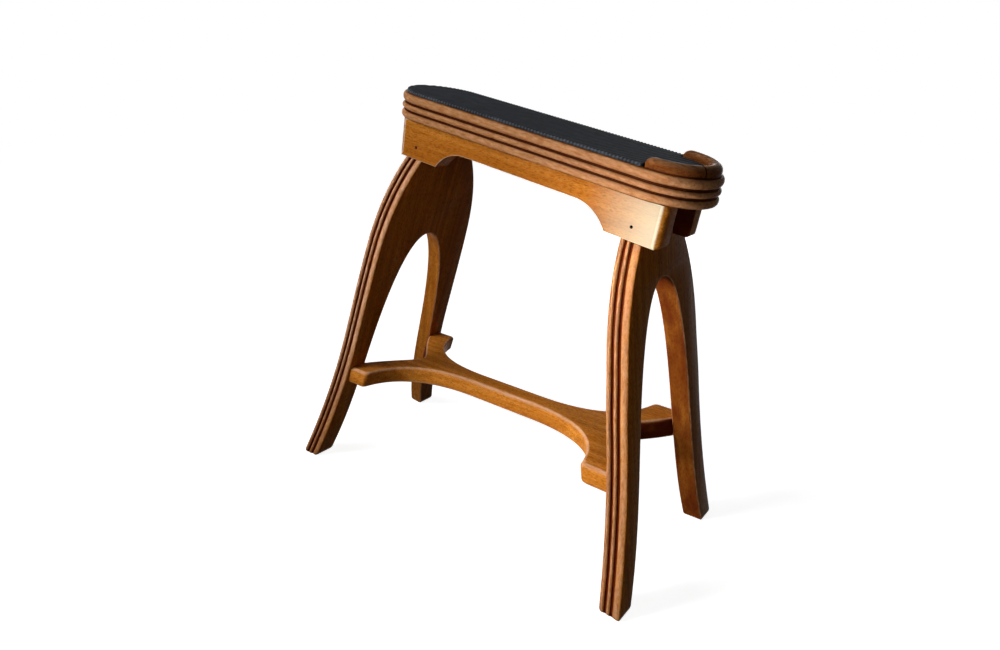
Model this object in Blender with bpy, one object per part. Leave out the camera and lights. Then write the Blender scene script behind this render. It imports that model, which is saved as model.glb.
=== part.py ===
"""Shoe shine footrest: a tilted, rubber-covered board on two reeded wishbone leg frames.

Metres, +Z up. +X points to the heel stop, +Y to the left, and the feet stand on z = 0.
"""

import math

import bmesh
import bpy
from mathutils import Matrix, Vector

MM = 0.001

# Fit: the air left between two pieces that touch on the real object.
GAP = 0.3 * MM

# Both sides of the object, as seen from the toe end.
HANDS = (("left", 1), ("right", -1))

# Stance: how the top is carried over the floor.
TOP_TILT = math.radians(9.8)
TOP_HEIGHT = 391 * MM
REAR_RAKE = math.radians(19.5)
FRONT_RAKE = math.radians(6.8)
REAR_JOINT = 145.5 * MM
FRONT_JOINT = 141.5 * MM

# Top board, a stadium whose edge carries three reeds.
TOP_LENGTH = 396 * MM
TOP_WIDTH = 104 * MM
TOP_THICKNESS = 28 * MM
REED_COUNT = 3
TOP_REED_DEPTH = 2.6 * MM

# Rubber mat.
MAT_THICKNESS = 3.7 * MM
MAT_MARGIN = 4.5 * MM
MAT_ROUND = 1.5 * MM
MAT_CORNER = 3 * MM
MAT_CLEARANCE = 1 * MM

# Heel stop, a half-round lip in three segments round the heel end.
STOP_MARGIN = 4.2 * MM
STOP_WIDTH = 14 * MM
STOP_HEIGHT = 10.4 * MM
STOP_REACH = 7 * MM
STOP_NOSE = 9 * MM
STOP_TIP_WIDTH = 4 * MM
STOP_TIP_HEIGHT = 6 * MM
STOP_JOINT_ANGLE = math.radians(25)

# Aprons, deep at both ends and coved up to a shallow middle.
APRON_LENGTH = 346 * MM
APRON_DEPTH = 43 * MM
APRON_THICKNESS = 22 * MM
APRON_SPREAD = 91 * MM
APRON_CORNER = 8 * MM
APRON_WEB = 21 * MM
ARCH_LENGTH = 226 * MM
COVE_RUN = 39 * MM

# Leg frames, sawn from board with reeded outer edges.
LEG_THICKNESS = 22.5 * MM
LEG_REED_DEPTH = 2.2 * MM
FOOT_OUTER = 116 * MM
FOOT_INNER = 91 * MM
FOOT_ROUND = 3.5 * MM
FOOT_EASE = 4 * MM
WAIST_HEIGHT = 190 * MM
WAIST_OUTER = 85.5 * MM
WAIST_INNER = 57 * MM
SHOULDER_DROP = 118 * MM
SHOULDER_OUTER = 80 * MM
REAR_ARCH_DROP = 103 * MM
FRONT_ARCH_DROP = 39.5 * MM
FOOT_OUTER_SLOPE = -0.28
WAIST_OUTER_SLOPE = -0.04
SHOULDER_SLOPE = -0.07
CROWN_SLOPE = -0.62
FOOT_INNER_SLOPE = -0.36
WAIST_INNER_SLOPE = -0.12
ARCH_SHOULDER = 77 * MM
ARCH_CROWN = 30 * MM

# Stretcher, one level board with a fork at each end.
STRETCHER_TOP = 138 * MM
STRETCHER_THICKNESS = 21.5 * MM
STRETCHER_ROUND = 3.5 * MM
BAR_WIDTH = 26 * MM
BAR_STRAIGHT = 90 * MM
ARM_SETBACK = 4.8 * MM
ARM_BUTT = 24.5 * MM
REAR_ARM_WIDTH = 28 * MM
FRONT_ARM_WIDTH = 34 * MM
ARM_CORNER = 6 * MM
FORK_DEPTH = 52 * MM
FORK_CROTCH = 9 * MM
FORK_MOUTH = Vector((18 * MM, 29 * MM))
BAR_FLARE = 73 * MM
ARM_FLARE = Vector((10 * MM, 44 * MM))

# Fasteners.
PIN_DIAMETER = 3.4 * MM
PIN_BITE = 14 * MM
PIN_SUNK = 1.2 * MM
PIN_HEIGHT = 14 * MM
SCREW_SHANK = 4.2 * MM
SCREW_HEAD = 8.4 * MM
SCREW_POINT = 5 * MM
SCREW_TIP = 1 * MM
TOP_SCREW_BITE = 15 * MM
TOP_SCREW_PITCH = 120 * MM
STOP_SCREW_BITE = 7 * MM
STOP_SCREW_ANGLES = tuple(math.radians(a) for a in (-80, -45, 0, 45, 80))
DOWEL_DIAMETER = 8 * MM
DOWEL_LENGTH = 32 * MM

# Steps along each curve.
REED_STEPS = 4
ROUND_STEPS = 3
CURVE_STEPS = 9
END_STEPS = 22
ROD_SIDES = 12
SHARP_EDGE = math.radians(35)

# Places that several pieces share: the centre of the board's round end, its upper face on the
# tilted seat, the middle line of the lip, half the width of the tongues between the aprons.
END_CENTRE = Vector((TOP_LENGTH / 2 - TOP_WIDTH / 2, 0))
TOP_FACE = APRON_DEPTH + TOP_THICKNESS
STOP_RADIUS = TOP_WIDTH / 2 - STOP_MARGIN - STOP_WIDTH / 2
TONGUE_HALF = APRON_SPREAD / 2 - APRON_THICKNESS - GAP


def curve_point(start, leave, end, arrive, t):
    """The point at a share t of a cubic that leaves start along one vector and reaches end along another."""
    s = 1 - t
    ends = s * s * (1 + 2 * t) * start + t * t * (3 - 2 * t) * end
    return ends + s * s * t * leave - t * t * s * arrive


def curve(start, leave, end, arrive, steps):
    """Points of such a cubic from start to end, without its end point."""
    return [curve_point(start, leave, end, arrive, i / steps) for i in range(steps)]


def graph(start, start_slope, end, end_slope, steps):
    """Points of a cubic (across, along) whose width changes with given slopes along its rise."""
    rise = end.y - start.y
    return curve(start, Vector((start_slope * rise, rise)), end, Vector((end_slope * rise, rise)), steps)


def arc(centre, radius, first, last, steps):
    """Points of an arc, both ends included, angles in radians."""
    return [
        centre + radius * Vector((math.cos(a), math.sin(a)))
        for a in (first + (last - first) * i / steps for i in range(steps + 1))
    ]


def reed_profile(thickness, depth):
    """Places across a reeded edge and how far each lies below the reeds' crests."""
    pitch = thickness / REED_COUNT
    profile = [(0.0, depth)]
    for reed in range(REED_COUNT):
        for step in range(1, REED_STEPS + 1):
            a = math.pi * step / REED_STEPS
            across = pitch * (reed + (1 - math.cos(a)) / 2)
            profile.append((across, depth * (1 - math.sin(a))))
    return profile


def round_profile(thickness, radius):
    """Places through a board with both arrises rounded, and each place's inset."""
    turn = [math.pi / 2 * i / ROUND_STEPS for i in range(ROUND_STEPS + 1)]
    lower = [(radius * (1 - math.cos(a)), radius * (1 - math.sin(a))) for a in turn]
    upper = [(thickness - across, inset) for across, inset in reversed(lower)]
    return lower + upper


def add_loft(mesh, layers):
    """Join equal loops of points into one closed body with flat ends."""
    rings = [[mesh.verts.new(point) for point in layer] for layer in layers]
    faces = [mesh.faces.new(rings[0]), mesh.faces.new(rings[-1])]
    count = len(rings[0])
    for low, high in zip(rings, rings[1:]):
        for i in range(count):
            j = (i + 1) % count
            faces.append(mesh.faces.new((low[i], low[j], high[j], high[i])))
    bmesh.ops.recalc_face_normals(mesh, faces=faces)


def add_rod(mesh, start, axis, stations):
    """Turn a rod: stations are (distance along the axis, radius) from one end to the other."""
    turn = axis.to_track_quat("Z", "Y").to_matrix()
    layers = []
    for distance, radius in stations:
        ring = arc(Vector((0, 0)), radius, 0, 2 * math.pi, ROD_SIDES)[:-1]
        layers.append([start + turn @ Vector((p.x, p.y, distance)) for p in ring])
    add_loft(mesh, layers)


def rod_stations(diameter, length):
    """Stations of a plain pin or dowel."""
    return [(0.0, diameter / 2), (length, diameter / 2)]


def rod_hole(diameter, length, stand_out):
    """Stations of the blind hole for a pin or dowel, open beyond its head by stand_out."""
    radius = diameter / 2 + GAP
    return [(-stand_out, radius), (length + GAP, radius)]


def screw_stations(length):
    """Stations of a countersunk wood screw from its head to its point."""
    head = SCREW_HEAD / 2
    shank = SCREW_SHANK / 2
    return [(0.0, head), (head - shank, shank), (length - SCREW_POINT, shank), (length, SCREW_TIP / 2)]


def screw_hole(length):
    """Stations of the hole for a screw, wider all round and open beyond the head."""
    stations = [(distance, radius + GAP) for distance, radius in screw_stations(length)]
    stations[0] = (-2 * GAP, stations[0][1])
    stations.insert(1, (0.0, stations[0][1]))
    stations[-1] = (length + GAP, stations[-1][1])
    return stations


def add_object(name, mesh, material, parent):
    """Turn a mesh under construction into a named object on a parent."""
    data = bpy.data.meshes.new(name)
    mesh.to_mesh(data)
    mesh.free()
    item = bpy.data.objects.new(name, data)
    bpy.context.collection.objects.link(item)
    item.parent = parent
    if material:
        data.materials.append(material)
    data.shade_smooth()
    data.set_sharp_from_angle(angle=SHARP_EDGE)
    return item


def loft_object(name, layers, material, parent):
    """Make one lofted body an object."""
    mesh = bmesh.new()
    add_loft(mesh, layers)
    return add_object(name, mesh, material, parent)


def cut(item, cutter):
    """Take the cutter's shape out of an object."""
    step = item.modifiers.new("cut_" + cutter.name, "BOOLEAN")
    step.operation = "DIFFERENCE"
    step.solver = "EXACT"
    step.object = cutter


def add_empty(name, parent, location, turn=0.0):
    """A seat for pieces: its place, and its turn about the Y axis."""
    item = bpy.data.objects.new(name, None)
    bpy.context.collection.objects.link(item)
    item.parent = parent
    item.location = location
    item.rotation_euler = (0, turn, 0)
    return item


def principled(name, colour, roughness, metallic=0.0):
    """A plain surface: linear colour, roughness and metallic value."""
    material = bpy.data.materials.new(name)
    material.use_nodes = True
    shader = material.node_tree.nodes["Principled BSDF"]
    shader.inputs["Base Color"].default_value = (*colour, 1)
    shader.inputs["Roughness"].default_value = roughness
    shader.inputs["Metallic"].default_value = metallic
    return material


def wood(name):
    """Honey brown varnished hardwood."""
    return principled(name + "_wood", (0.36, 0.15, 0.045), 0.38)


def steel(name):
    """Dull steel."""
    return principled(name + "_steel", (0.33, 0.32, 0.3), 0.45, 1.0)


def top_point(along, across, height):
    """A place given on the tilted top, in the part's own axes before centring."""
    spot = Matrix.Rotation(TOP_TILT, 4, "Y") @ Vector((along, across, height))
    return spot + Vector((0, 0, TOP_HEIGHT))


def stadium(inset):
    """Half-round ended outline of the top board, drawn in by an inset."""
    radius = TOP_WIDTH / 2 - inset
    front = arc(END_CENTRE, radius, -math.pi / 2, math.pi / 2, END_STEPS)
    rear = arc(-END_CENTRE, radius, math.pi / 2, 3 * math.pi / 2, END_STEPS)
    return front + rear


def top_board_layers():
    """The board from its underside up, each layer drawn in by the reeds."""
    return [
        [(p.x, p.y, APRON_DEPTH + height) for p in stadium(inset)]
        for height, inset in reed_profile(TOP_THICKNESS, TOP_REED_DEPTH)
    ]


def mat_outline(inset):
    """Mat outline: round at the toe, stepped in at the lip's ends to lie inside the heel stop."""
    half = TOP_WIDTH / 2 - MAT_MARGIN - inset
    inner = STOP_RADIUS - STOP_WIDTH / 2 - MAT_CLEARANCE - inset
    step = END_CENTRE.x - STOP_REACH - MAT_CLEARANCE - inset
    corner = Vector((step - MAT_CORNER, half - MAT_CORNER))
    toe = arc(-END_CENTRE, half, math.pi / 2, 3 * math.pi / 2, END_STEPS)
    heel = arc(END_CENTRE, inner, -math.pi / 2, math.pi / 2, END_STEPS)
    left = [Vector((step, inner))] + arc(corner, MAT_CORNER, 0, math.pi / 2, ROUND_STEPS)
    right = [Vector((p.x, -p.y)) for p in reversed(left)]
    return toe + right + heel + left


def mat_layers():
    """The mat from its underside up, its upper edge rounded."""
    turn = [math.pi / 2 * i / ROUND_STEPS for i in range(ROUND_STEPS + 1)]
    profile = [(0.0, 0.0)]
    for a in turn:
        profile.append((MAT_THICKNESS - MAT_ROUND * (1 - math.sin(a)), MAT_ROUND * (1 - math.cos(a))))
    return [[(p.x, p.y, TOP_FACE + GAP + height) for p in mat_outline(inset)] for height, inset in profile]


def stop_section(width, height):
    """Cross-section of the lip, upright sides under a half-round: (outwards, up) from its base."""
    half = width / 2
    sides = 3 * ROUND_STEPS
    crest = arc(Vector((0, height - half)), half, 0, math.pi, sides)
    return [Vector((half, 0))] + crest + [Vector((-half, 0))]


def stop_frame(distance):
    """Middle line of the lip at a distance from the heel end's middle: its place and its outward side."""
    quarter = STOP_RADIUS * math.pi / 2
    if abs(distance) > quarter:
        side = math.copysign(1, distance)
        return Vector((END_CENTRE.x - (abs(distance) - quarter), side * STOP_RADIUS)), Vector((0, side))
    outward = Vector((math.cos(distance / STOP_RADIUS), math.sin(distance / STOP_RADIUS)))
    return END_CENTRE + STOP_RADIUS * outward, outward


def stop_layers(stations):
    """One segment of the lip; stations are (distance along it, width, height)."""
    layers = []
    for distance, width, height in stations:
        place, outward = stop_frame(distance)
        spots = [(place + outward * p.x, p.y) for p in stop_section(width, height)]
        layers.append([(spot.x, spot.y, TOP_FACE + GAP + rise) for spot, rise in spots])
    return layers


def plain_stations(first, last):
    """Stations of the lip at its full section between two distances."""
    steps = END_STEPS // 2
    return [(first + (last - first) * i / steps, STOP_WIDTH, STOP_HEIGHT) for i in range(steps + 1)]


def nosed_stations(first, last):
    """Stations of the lip from a joint to a free end, where it is drawn in to a blunt nose."""
    nose = math.copysign(STOP_NOSE, last - first)
    stations = plain_stations(first, last - nose)
    for i in range(ROUND_STEPS + 1):
        a = math.pi / 2 * (i + 1) / (ROUND_STEPS + 1)
        width = STOP_TIP_WIDTH + (STOP_WIDTH - STOP_TIP_WIDTH) * math.cos(a)
        height = STOP_TIP_HEIGHT + (STOP_HEIGHT - STOP_TIP_HEIGHT) * math.cos(a)
        stations.append((last - nose * (1 - math.sin(a)), width, height))
    return stations


def apron_profile(end_inset):
    """Side outline of an apron in (along, up), along its arched underside and back over its top."""
    end = APRON_LENGTH / 2 - end_inset
    toe = ARCH_LENGTH / 2
    rise = APRON_DEPTH - APRON_WEB
    turn = 2 * math.atan(rise / COVE_RUN)
    radius = COVE_RUN / math.sin(turn)
    centre = Vector((toe - COVE_RUN, rise - radius))
    front_cove = arc(centre, radius, math.pi / 2, math.pi / 2 - turn, CURVE_STEPS)
    rear_cove = [Vector((-p.x, p.y)) for p in reversed(front_cove)]
    top = APRON_DEPTH - GAP
    ends = [Vector((end, 0)), Vector((end, top)), Vector((-end, top)), Vector((-end, 0))]
    return rear_cove + front_cove + ends


def apron_layers(side):
    """An apron from its outer face inwards, with its upright outer corners rounded."""
    outer = APRON_SPREAD / 2
    turn = [math.pi / 2 * i / (2 * ROUND_STEPS) for i in range(2 * ROUND_STEPS + 1)]
    profile = [(outer - APRON_CORNER * (1 - math.cos(a)), APRON_CORNER * (1 - math.sin(a))) for a in turn]
    profile.append((outer - APRON_THICKNESS, 0.0))
    return [[(p.x, side * across, p.y) for p in apron_profile(inset)] for across, inset in profile]


def leg_seat(joint, rake):
    """Where the middle plane of a leg frame meets the floor, below its joint with the aprons."""
    spot = top_point(joint, 0, PIN_HEIGHT)
    return spot.x - spot.z * math.tan(rake)


def leg_reach(joint, rake, depth, height):
    """How far up the leg a layer meets the plane lying at a height on the top.

    Depth is the layer's place through the thickness, from the middle plane towards +X.
    """
    seat = Vector((leg_seat(joint, rake), 0, 0))
    normal = Vector((math.sin(TOP_TILT), 0, math.cos(TOP_TILT)))
    along = Vector((math.sin(rake), 0, math.cos(rake)))
    through = Vector((math.cos(rake), 0, -math.sin(rake)))
    start = seat + depth * through
    return (top_point(0, 0, height) - start).dot(normal) / along.dot(normal)


def sole_ease(depth):
    """How far the sole lifts off the floor where it is rounded off towards the faces of the board."""
    short = max(0, FOOT_EASE - (LEG_THICKNESS / 2 - abs(depth)))
    return FOOT_EASE - math.sqrt(FOOT_EASE**2 - short**2)


def leg_outline(joint, rake, arch_drop, depth, inset):
    """Left half of one layer of a leg frame in (across, up), from the tongue's top to the arch's top.

    Depth is the layer's place through the thickness. The inset is the depth of the reeds in that
    layer and works on the outer edge only.
    """
    floor = depth * math.tan(rake) + sole_ease(depth)
    crown = leg_reach(joint, rake, 0, 0)
    shoulder_top = leg_reach(joint, rake, depth, -GAP)
    tongue_top = leg_reach(joint, rake, depth, APRON_DEPTH - GAP)
    foot = Vector((FOOT_OUTER, 0))
    waist = Vector((WAIST_OUTER, WAIST_HEIGHT))
    shoulder = Vector((SHOULDER_OUTER, crown - SHOULDER_DROP))
    top = Vector((APRON_SPREAD / 2, crown))
    outer = [foot + (floor + FOOT_ROUND) * Vector((FOOT_OUTER_SLOPE, 1))]
    outer += graph(foot, FOOT_OUTER_SLOPE, waist, WAIST_OUTER_SLOPE, CURVE_STEPS)[1:]
    outer += graph(waist, WAIST_OUTER_SLOPE, shoulder, SHOULDER_SLOPE, CURVE_STEPS // 2)
    outer += graph(shoulder, SHOULDER_SLOPE, top, CROWN_SLOPE, CURVE_STEPS)
    rise = shoulder_top - outer[-1].y
    outer.append(outer[-1] + rise * Vector((CROWN_SLOPE, 1)))
    outer = [p - Vector((inset, 0)) for p in outer]
    sole = Vector((FOOT_INNER, 0)) + (floor + FOOT_ROUND) * Vector((FOOT_INNER_SLOPE, 1))
    inner_round = arc(sole + Vector((FOOT_ROUND, 0)), FOOT_ROUND, math.pi, 3 * math.pi / 2, ROUND_STEPS)
    outer_round = arc(outer[0] - Vector((FOOT_ROUND, 0)), FOOT_ROUND, -math.pi / 2, 0, ROUND_STEPS)[:-1]
    spring = Vector((WAIST_INNER, WAIST_HEIGHT))
    apex = Vector((0, crown - arch_drop))
    leave = 3 * ARCH_SHOULDER * Vector((WAIST_INNER_SLOPE, 1))
    arrive = 3 * Vector((-ARCH_CROWN, 0))
    inner = graph(Vector((FOOT_INNER, 0)), FOOT_INNER_SLOPE, spring, WAIST_INNER_SLOPE, CURVE_STEPS)[1:]
    inner += curve(spring, leave, apex, arrive, CURVE_STEPS) + [apex]
    edge = list(reversed(inner_round + outer_round + outer))
    return [Vector((TONGUE_HALF, tongue_top)), Vector((TONGUE_HALF, shoulder_top))] + edge + inner


def leg_layers(joint, rake, arch_drop):
    """A leg frame through its thickness, its outer edges reeded, its arch a given drop below the aprons."""
    layers = []
    for across, inset in reed_profile(LEG_THICKNESS, LEG_REED_DEPTH):
        depth = across - LEG_THICKNESS / 2
        left = leg_outline(joint, rake, arch_drop, depth, inset)
        right = [Vector((-p.x, p.y)) for p in reversed(left[:-1])]
        layers.append([(depth, p.x, p.y) for p in left + right])
    return layers


def leg_face(joint, rake, side, height):
    """Place along X of a leg frame's face at a height over the floor; side +1 is the face towards +X."""
    return leg_seat(joint, rake) + height * math.tan(rake) + side * LEG_THICKNESS / 2 / math.cos(rake)


def arm_half(rake):
    """Half the spread of the stretcher's arms, a setback inside the leg frame's outer edge."""
    up = (STRETCHER_TOP - STRETCHER_THICKNESS / 2) / math.cos(rake)
    edge = curve_point(
        Vector((FOOT_OUTER, 0)),
        Vector((FOOT_OUTER_SLOPE * WAIST_HEIGHT, WAIST_HEIGHT)),
        Vector((WAIST_OUTER, WAIST_HEIGHT)),
        Vector((WAIST_OUTER_SLOPE * WAIST_HEIGHT, WAIST_HEIGHT)),
        up / WAIST_HEIGHT,
    )
    return edge.x - ARM_SETBACK


def fork_half(end, half, arm_width, inset):
    """Left half of one fork in (outwards, across) from the bar's middle to the crotch.

    End is the distance from the stretcher's middle to the leg frame, half the arms' half spread.
    """
    bar = Vector((BAR_STRAIGHT / 2, BAR_WIDTH / 2 - inset))
    tip = Vector((end - arm_width + inset, half - ARM_CORNER))
    corner = Vector((tip.x + ARM_CORNER, tip.y - inset))
    crotch = Vector((end - FORK_DEPTH - inset, 0))
    mouth = Vector((end, half - ARM_BUTT + inset))
    flank = curve(bar, Vector((3 * BAR_FLARE, 0)), tip, 3 * ARM_FLARE, 2 * CURVE_STEPS)
    nose = arc(corner, ARM_CORNER, math.pi, math.pi / 2, ROUND_STEPS)
    butt = [Vector((end, half - inset))]
    fork = curve(mouth, -3 * FORK_MOUTH, crotch, Vector((0, -3 * FORK_CROTCH)), CURVE_STEPS)
    return flank + nose + butt + fork + [crotch]


def stretcher_layers(middle):
    """The stretcher from its underside up, its ends cut to the rake of both leg frames."""
    layers = []
    base = STRETCHER_TOP - STRETCHER_THICKNESS
    for rise, inset in round_profile(STRETCHER_THICKNESS, STRETCHER_ROUND):
        height = base + rise
        front = leg_face(FRONT_JOINT, -FRONT_RAKE, -1, height) - GAP - middle
        rear = middle - leg_face(-REAR_JOINT, REAR_RAKE, 1, height) - GAP
        ahead = fork_half(front, arm_half(FRONT_RAKE), FRONT_ARM_WIDTH, inset)
        behind = fork_half(rear, arm_half(REAR_RAKE), REAR_ARM_WIDTH, inset)
        loop = [(middle + p.x, p.y, height) for p in ahead]
        loop += [(middle + p.x, -p.y, height) for p in reversed(ahead[:-1])]
        loop += [(middle - p.x, -p.y, height) for p in behind]
        loop += [(middle - p.x, p.y, height) for p in reversed(behind[:-1])]
        layers.append(loop)
    return layers


def pin_places():
    """Head and inward direction of each apron pin, by its corner."""
    head = APRON_SPREAD / 2 - PIN_SUNK
    return {
        end + "_" + hand: (Vector((joint, side * head, PIN_HEIGHT)), Vector((0, -side, 0)))
        for end, joint in (("front", FRONT_JOINT), ("rear", -REAR_JOINT))
        for hand, side in HANDS
    }


def top_screw_places():
    """Head and downward direction of each screw through the board into an apron."""
    across = APRON_SPREAD / 2 - APRON_THICKNESS / 2
    return {
        place + "_" + hand: (Vector((along, side * across, TOP_FACE - GAP)), Vector((0, 0, -1)))
        for place, along in (("front", TOP_SCREW_PITCH), ("middle", 0), ("rear", -TOP_SCREW_PITCH))
        for hand, side in HANDS
    }


def stop_screw_places():
    """Head and upward direction of each screw through the board into the heel stop."""
    places = {}
    for number, angle in enumerate(STOP_SCREW_ANGLES, start=1):
        spot, _ = stop_frame(STOP_RADIUS * angle)
        places[str(number)] = (Vector((spot.x, spot.y, APRON_DEPTH + GAP)), Vector((0, 0, 1)))
    return places


def dowel_places():
    """Rear end and direction of each dowel between the stretcher and a leg frame."""
    height = STRETCHER_TOP - STRETCHER_THICKNESS / 2
    ends = (
        ("front", leg_face(FRONT_JOINT, -FRONT_RAKE, -1, height), arm_half(FRONT_RAKE)),
        ("rear", leg_face(-REAR_JOINT, REAR_RAKE, 1, height), arm_half(REAR_RAKE)),
    )
    places = {}
    for end, face, half in ends:
        for hand, side in HANDS:
            start = Vector((face - DOWEL_LENGTH / 2, side * (half - ARM_BUTT / 2), height))
            places[end + "_" + hand] = (start, Vector((1, 0, 0)))
    return places


def add_fasteners(name, places, stations, finish, seat):
    """One turned piece for each place."""
    for place, (start, axis) in places.items():
        mesh = bmesh.new()
        add_rod(mesh, start, axis, stations)
        node = name + "_" + place
        add_object(node, mesh, finish(node), seat)


def add_holes(name, places, stations, seat):
    """One hidden tool that holds the holes for all places."""
    mesh = bmesh.new()
    for start, axis in places.values():
        add_rod(mesh, start, axis, stations)
    item = add_object(name, mesh, None, seat)
    item.hide_render = True
    item.display_type = "WIRE"
    return item


def build_top(seat):
    """Board, mat and heel stop on the tilted seat, with their screws; returns the holes into the aprons."""
    board = loft_object("top_board", top_board_layers(), wood("top_board"), seat)
    loft_object("rubber_mat", mat_layers(), principled("mat_rubber", (0.018, 0.02, 0.023), 0.7), seat)
    tip = STOP_RADIUS * math.pi / 2 + STOP_REACH
    joint = STOP_RADIUS * STOP_JOINT_ANGLE
    front = stop_layers(plain_stations(GAP / 2 - joint, joint - GAP / 2))
    segments = [loft_object("heel_stop_front", front, wood("heel_stop_front"), seat)]
    for hand, side in HANDS:
        name = "heel_stop_" + hand
        layers = stop_layers(nosed_stations(side * (joint + GAP / 2), side * tip))
        segments.append(loft_object(name, layers, wood(name), seat))
    top_screw = TOP_THICKNESS + TOP_SCREW_BITE
    stop_screw = TOP_THICKNESS + STOP_SCREW_BITE
    add_fasteners("top_screw", top_screw_places(), screw_stations(top_screw), steel, seat)
    add_fasteners("heel_stop_screw", stop_screw_places(), screw_stations(stop_screw), steel, seat)
    top_holes = add_holes("top_screw_holes", top_screw_places(), screw_hole(top_screw), seat)
    stop_holes = add_holes("heel_stop_screw_holes", stop_screw_places(), screw_hole(stop_screw), seat)
    cut(board, top_holes)
    for piece in [board] + segments:
        cut(piece, stop_holes)
    return top_holes


def build_aprons(seat, top_holes):
    """Both aprons and the pins through them; returns the pins' holes."""
    length = APRON_THICKNESS - PIN_SUNK + PIN_BITE
    add_fasteners("apron_pin", pin_places(), rod_stations(PIN_DIAMETER, length), steel, seat)
    pin_holes = add_holes("apron_pin_holes", pin_places(), rod_hole(PIN_DIAMETER, length, 2 * PIN_SUNK), seat)
    for hand, side in HANDS:
        name = "apron_" + hand
        apron = loft_object(name, apron_layers(side), wood(name), seat)
        cut(apron, pin_holes)
        cut(apron, top_holes)
    return pin_holes


def build_base(root, pin_holes):
    """Both leg frames, the stretcher between them and its dowels."""
    middle = (leg_face(FRONT_JOINT, -FRONT_RAKE, -1, STRETCHER_TOP)
              + leg_face(-REAR_JOINT, REAR_RAKE, 1, STRETCHER_TOP)) / 2
    stretcher = loft_object("stretcher", stretcher_layers(middle), wood("stretcher"), root)
    add_fasteners("stretcher_dowel", dowel_places(), rod_stations(DOWEL_DIAMETER, DOWEL_LENGTH), wood, root)
    dowel_holes = add_holes("dowel_holes", dowel_places(), rod_hole(DOWEL_DIAMETER, DOWEL_LENGTH, GAP), root)
    cut(stretcher, dowel_holes)
    frames = (
        ("rear_leg_frame", -REAR_JOINT, REAR_RAKE, REAR_ARCH_DROP),
        ("front_leg_frame", FRONT_JOINT, -FRONT_RAKE, FRONT_ARCH_DROP),
    )
    for name, joint, rake, arch_drop in frames:
        seat = add_empty(name + "_seat", root, (leg_seat(joint, rake), 0, 0), rake)
        frame = loft_object(name, leg_layers(joint, rake, arch_drop), wood(name), seat)
        cut(frame, pin_holes)
        cut(frame, dowel_holes)


def centre_on_origin(root):
    """Move the whole part along X so that the origin lies under the middle of its box."""
    bpy.context.view_layer.update()
    pieces = [item for item in bpy.data.objects if item.type == "MESH" and not item.hide_render]
    places = [(item.matrix_world @ corner.co).x for item in pieces for corner in item.data.vertices]
    root.location.x = -(min(places) + max(places)) / 2


def main():
    """Clear the scene and build the footrest."""
    for item in list(bpy.data.objects):
        bpy.data.objects.remove(item)
    root = add_empty("footrest", None, (0, 0, 0))
    top_seat = add_empty("top_seat", root, (0, 0, TOP_HEIGHT), TOP_TILT)
    top_holes = build_top(top_seat)
    pin_holes = build_aprons(top_seat, top_holes)
    build_base(root, pin_holes)
    centre_on_origin(root)


main()
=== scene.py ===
"""Shoe shine footrest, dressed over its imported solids.

A rubber-covered board with a heel stop stands on two wishbone leg frames whose outer edges are
reeded, tied by a stretcher forked at both ends. Sizes are in millimetres and become metres where a
mesh is made. +X points to the heel stop and +Y to the left, and the feet stand on z = 0.
"""

import logging
import math
from dataclasses import dataclass, field, replace
from enum import Enum
from functools import cached_property

import bmesh
import bpy
import numpy as np
from mathutils import Matrix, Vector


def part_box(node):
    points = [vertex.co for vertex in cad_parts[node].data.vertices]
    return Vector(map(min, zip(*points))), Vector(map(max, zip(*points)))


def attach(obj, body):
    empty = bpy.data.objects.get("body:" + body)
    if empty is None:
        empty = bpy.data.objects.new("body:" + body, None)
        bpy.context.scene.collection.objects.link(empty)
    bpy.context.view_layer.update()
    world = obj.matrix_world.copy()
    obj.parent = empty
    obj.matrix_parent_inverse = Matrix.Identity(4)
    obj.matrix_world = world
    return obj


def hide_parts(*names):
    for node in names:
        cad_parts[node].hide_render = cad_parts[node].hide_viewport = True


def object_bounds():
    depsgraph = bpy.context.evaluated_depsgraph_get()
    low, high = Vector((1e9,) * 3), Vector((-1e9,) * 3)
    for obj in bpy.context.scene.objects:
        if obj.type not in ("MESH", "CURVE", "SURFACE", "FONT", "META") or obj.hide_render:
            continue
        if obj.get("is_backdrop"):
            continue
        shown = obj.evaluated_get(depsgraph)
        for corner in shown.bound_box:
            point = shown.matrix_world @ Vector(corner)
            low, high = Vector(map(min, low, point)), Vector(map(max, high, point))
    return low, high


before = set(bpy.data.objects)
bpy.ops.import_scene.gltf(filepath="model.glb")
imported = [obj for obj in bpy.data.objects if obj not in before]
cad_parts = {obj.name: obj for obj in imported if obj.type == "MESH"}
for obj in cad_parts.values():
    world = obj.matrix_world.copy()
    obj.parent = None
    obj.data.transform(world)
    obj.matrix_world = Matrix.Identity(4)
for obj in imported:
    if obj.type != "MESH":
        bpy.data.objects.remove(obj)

log = logging.getLogger("footrest")

Array = np.ndarray
Socket = bpy.types.NodeSocket

# One millimetre in Blender's metres.
MM = 0.001

# Air between two pieces that touch, as in the solids.
GAP = 0.3

# An end vector of a cubic is three times its handle.
HANDLE = 3

# Points along the inside of a fork of the stretcher.
FORK_STEPS = 41

# Smooth shading: edges that turn more than this stay crisp.
CRISP = math.radians(38)

# Socket places on a Mix node: its share, its two numbers, its two colours and its mixed colour.
FACTOR, LOW, HIGH, FIRST, SECOND, MIXED = 0, 2, 3, 6, 7, 2


class Hand(Enum):
    """The two sides of the footrest, as seen from its toe end; the value is the sign of Y."""

    LEFT = 1
    RIGHT = -1

    @property
    def word(self) -> str:
        """The side's name as the solids carry it."""
        return self.name.lower()


class GrainSource(Enum):
    """Where a wood finish reads the run of its grain."""

    PIECE = "the piece's own grain attribute, in millimetres"
    SOLID = "Object coordinates of a carried-over solid, in metres"


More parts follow.
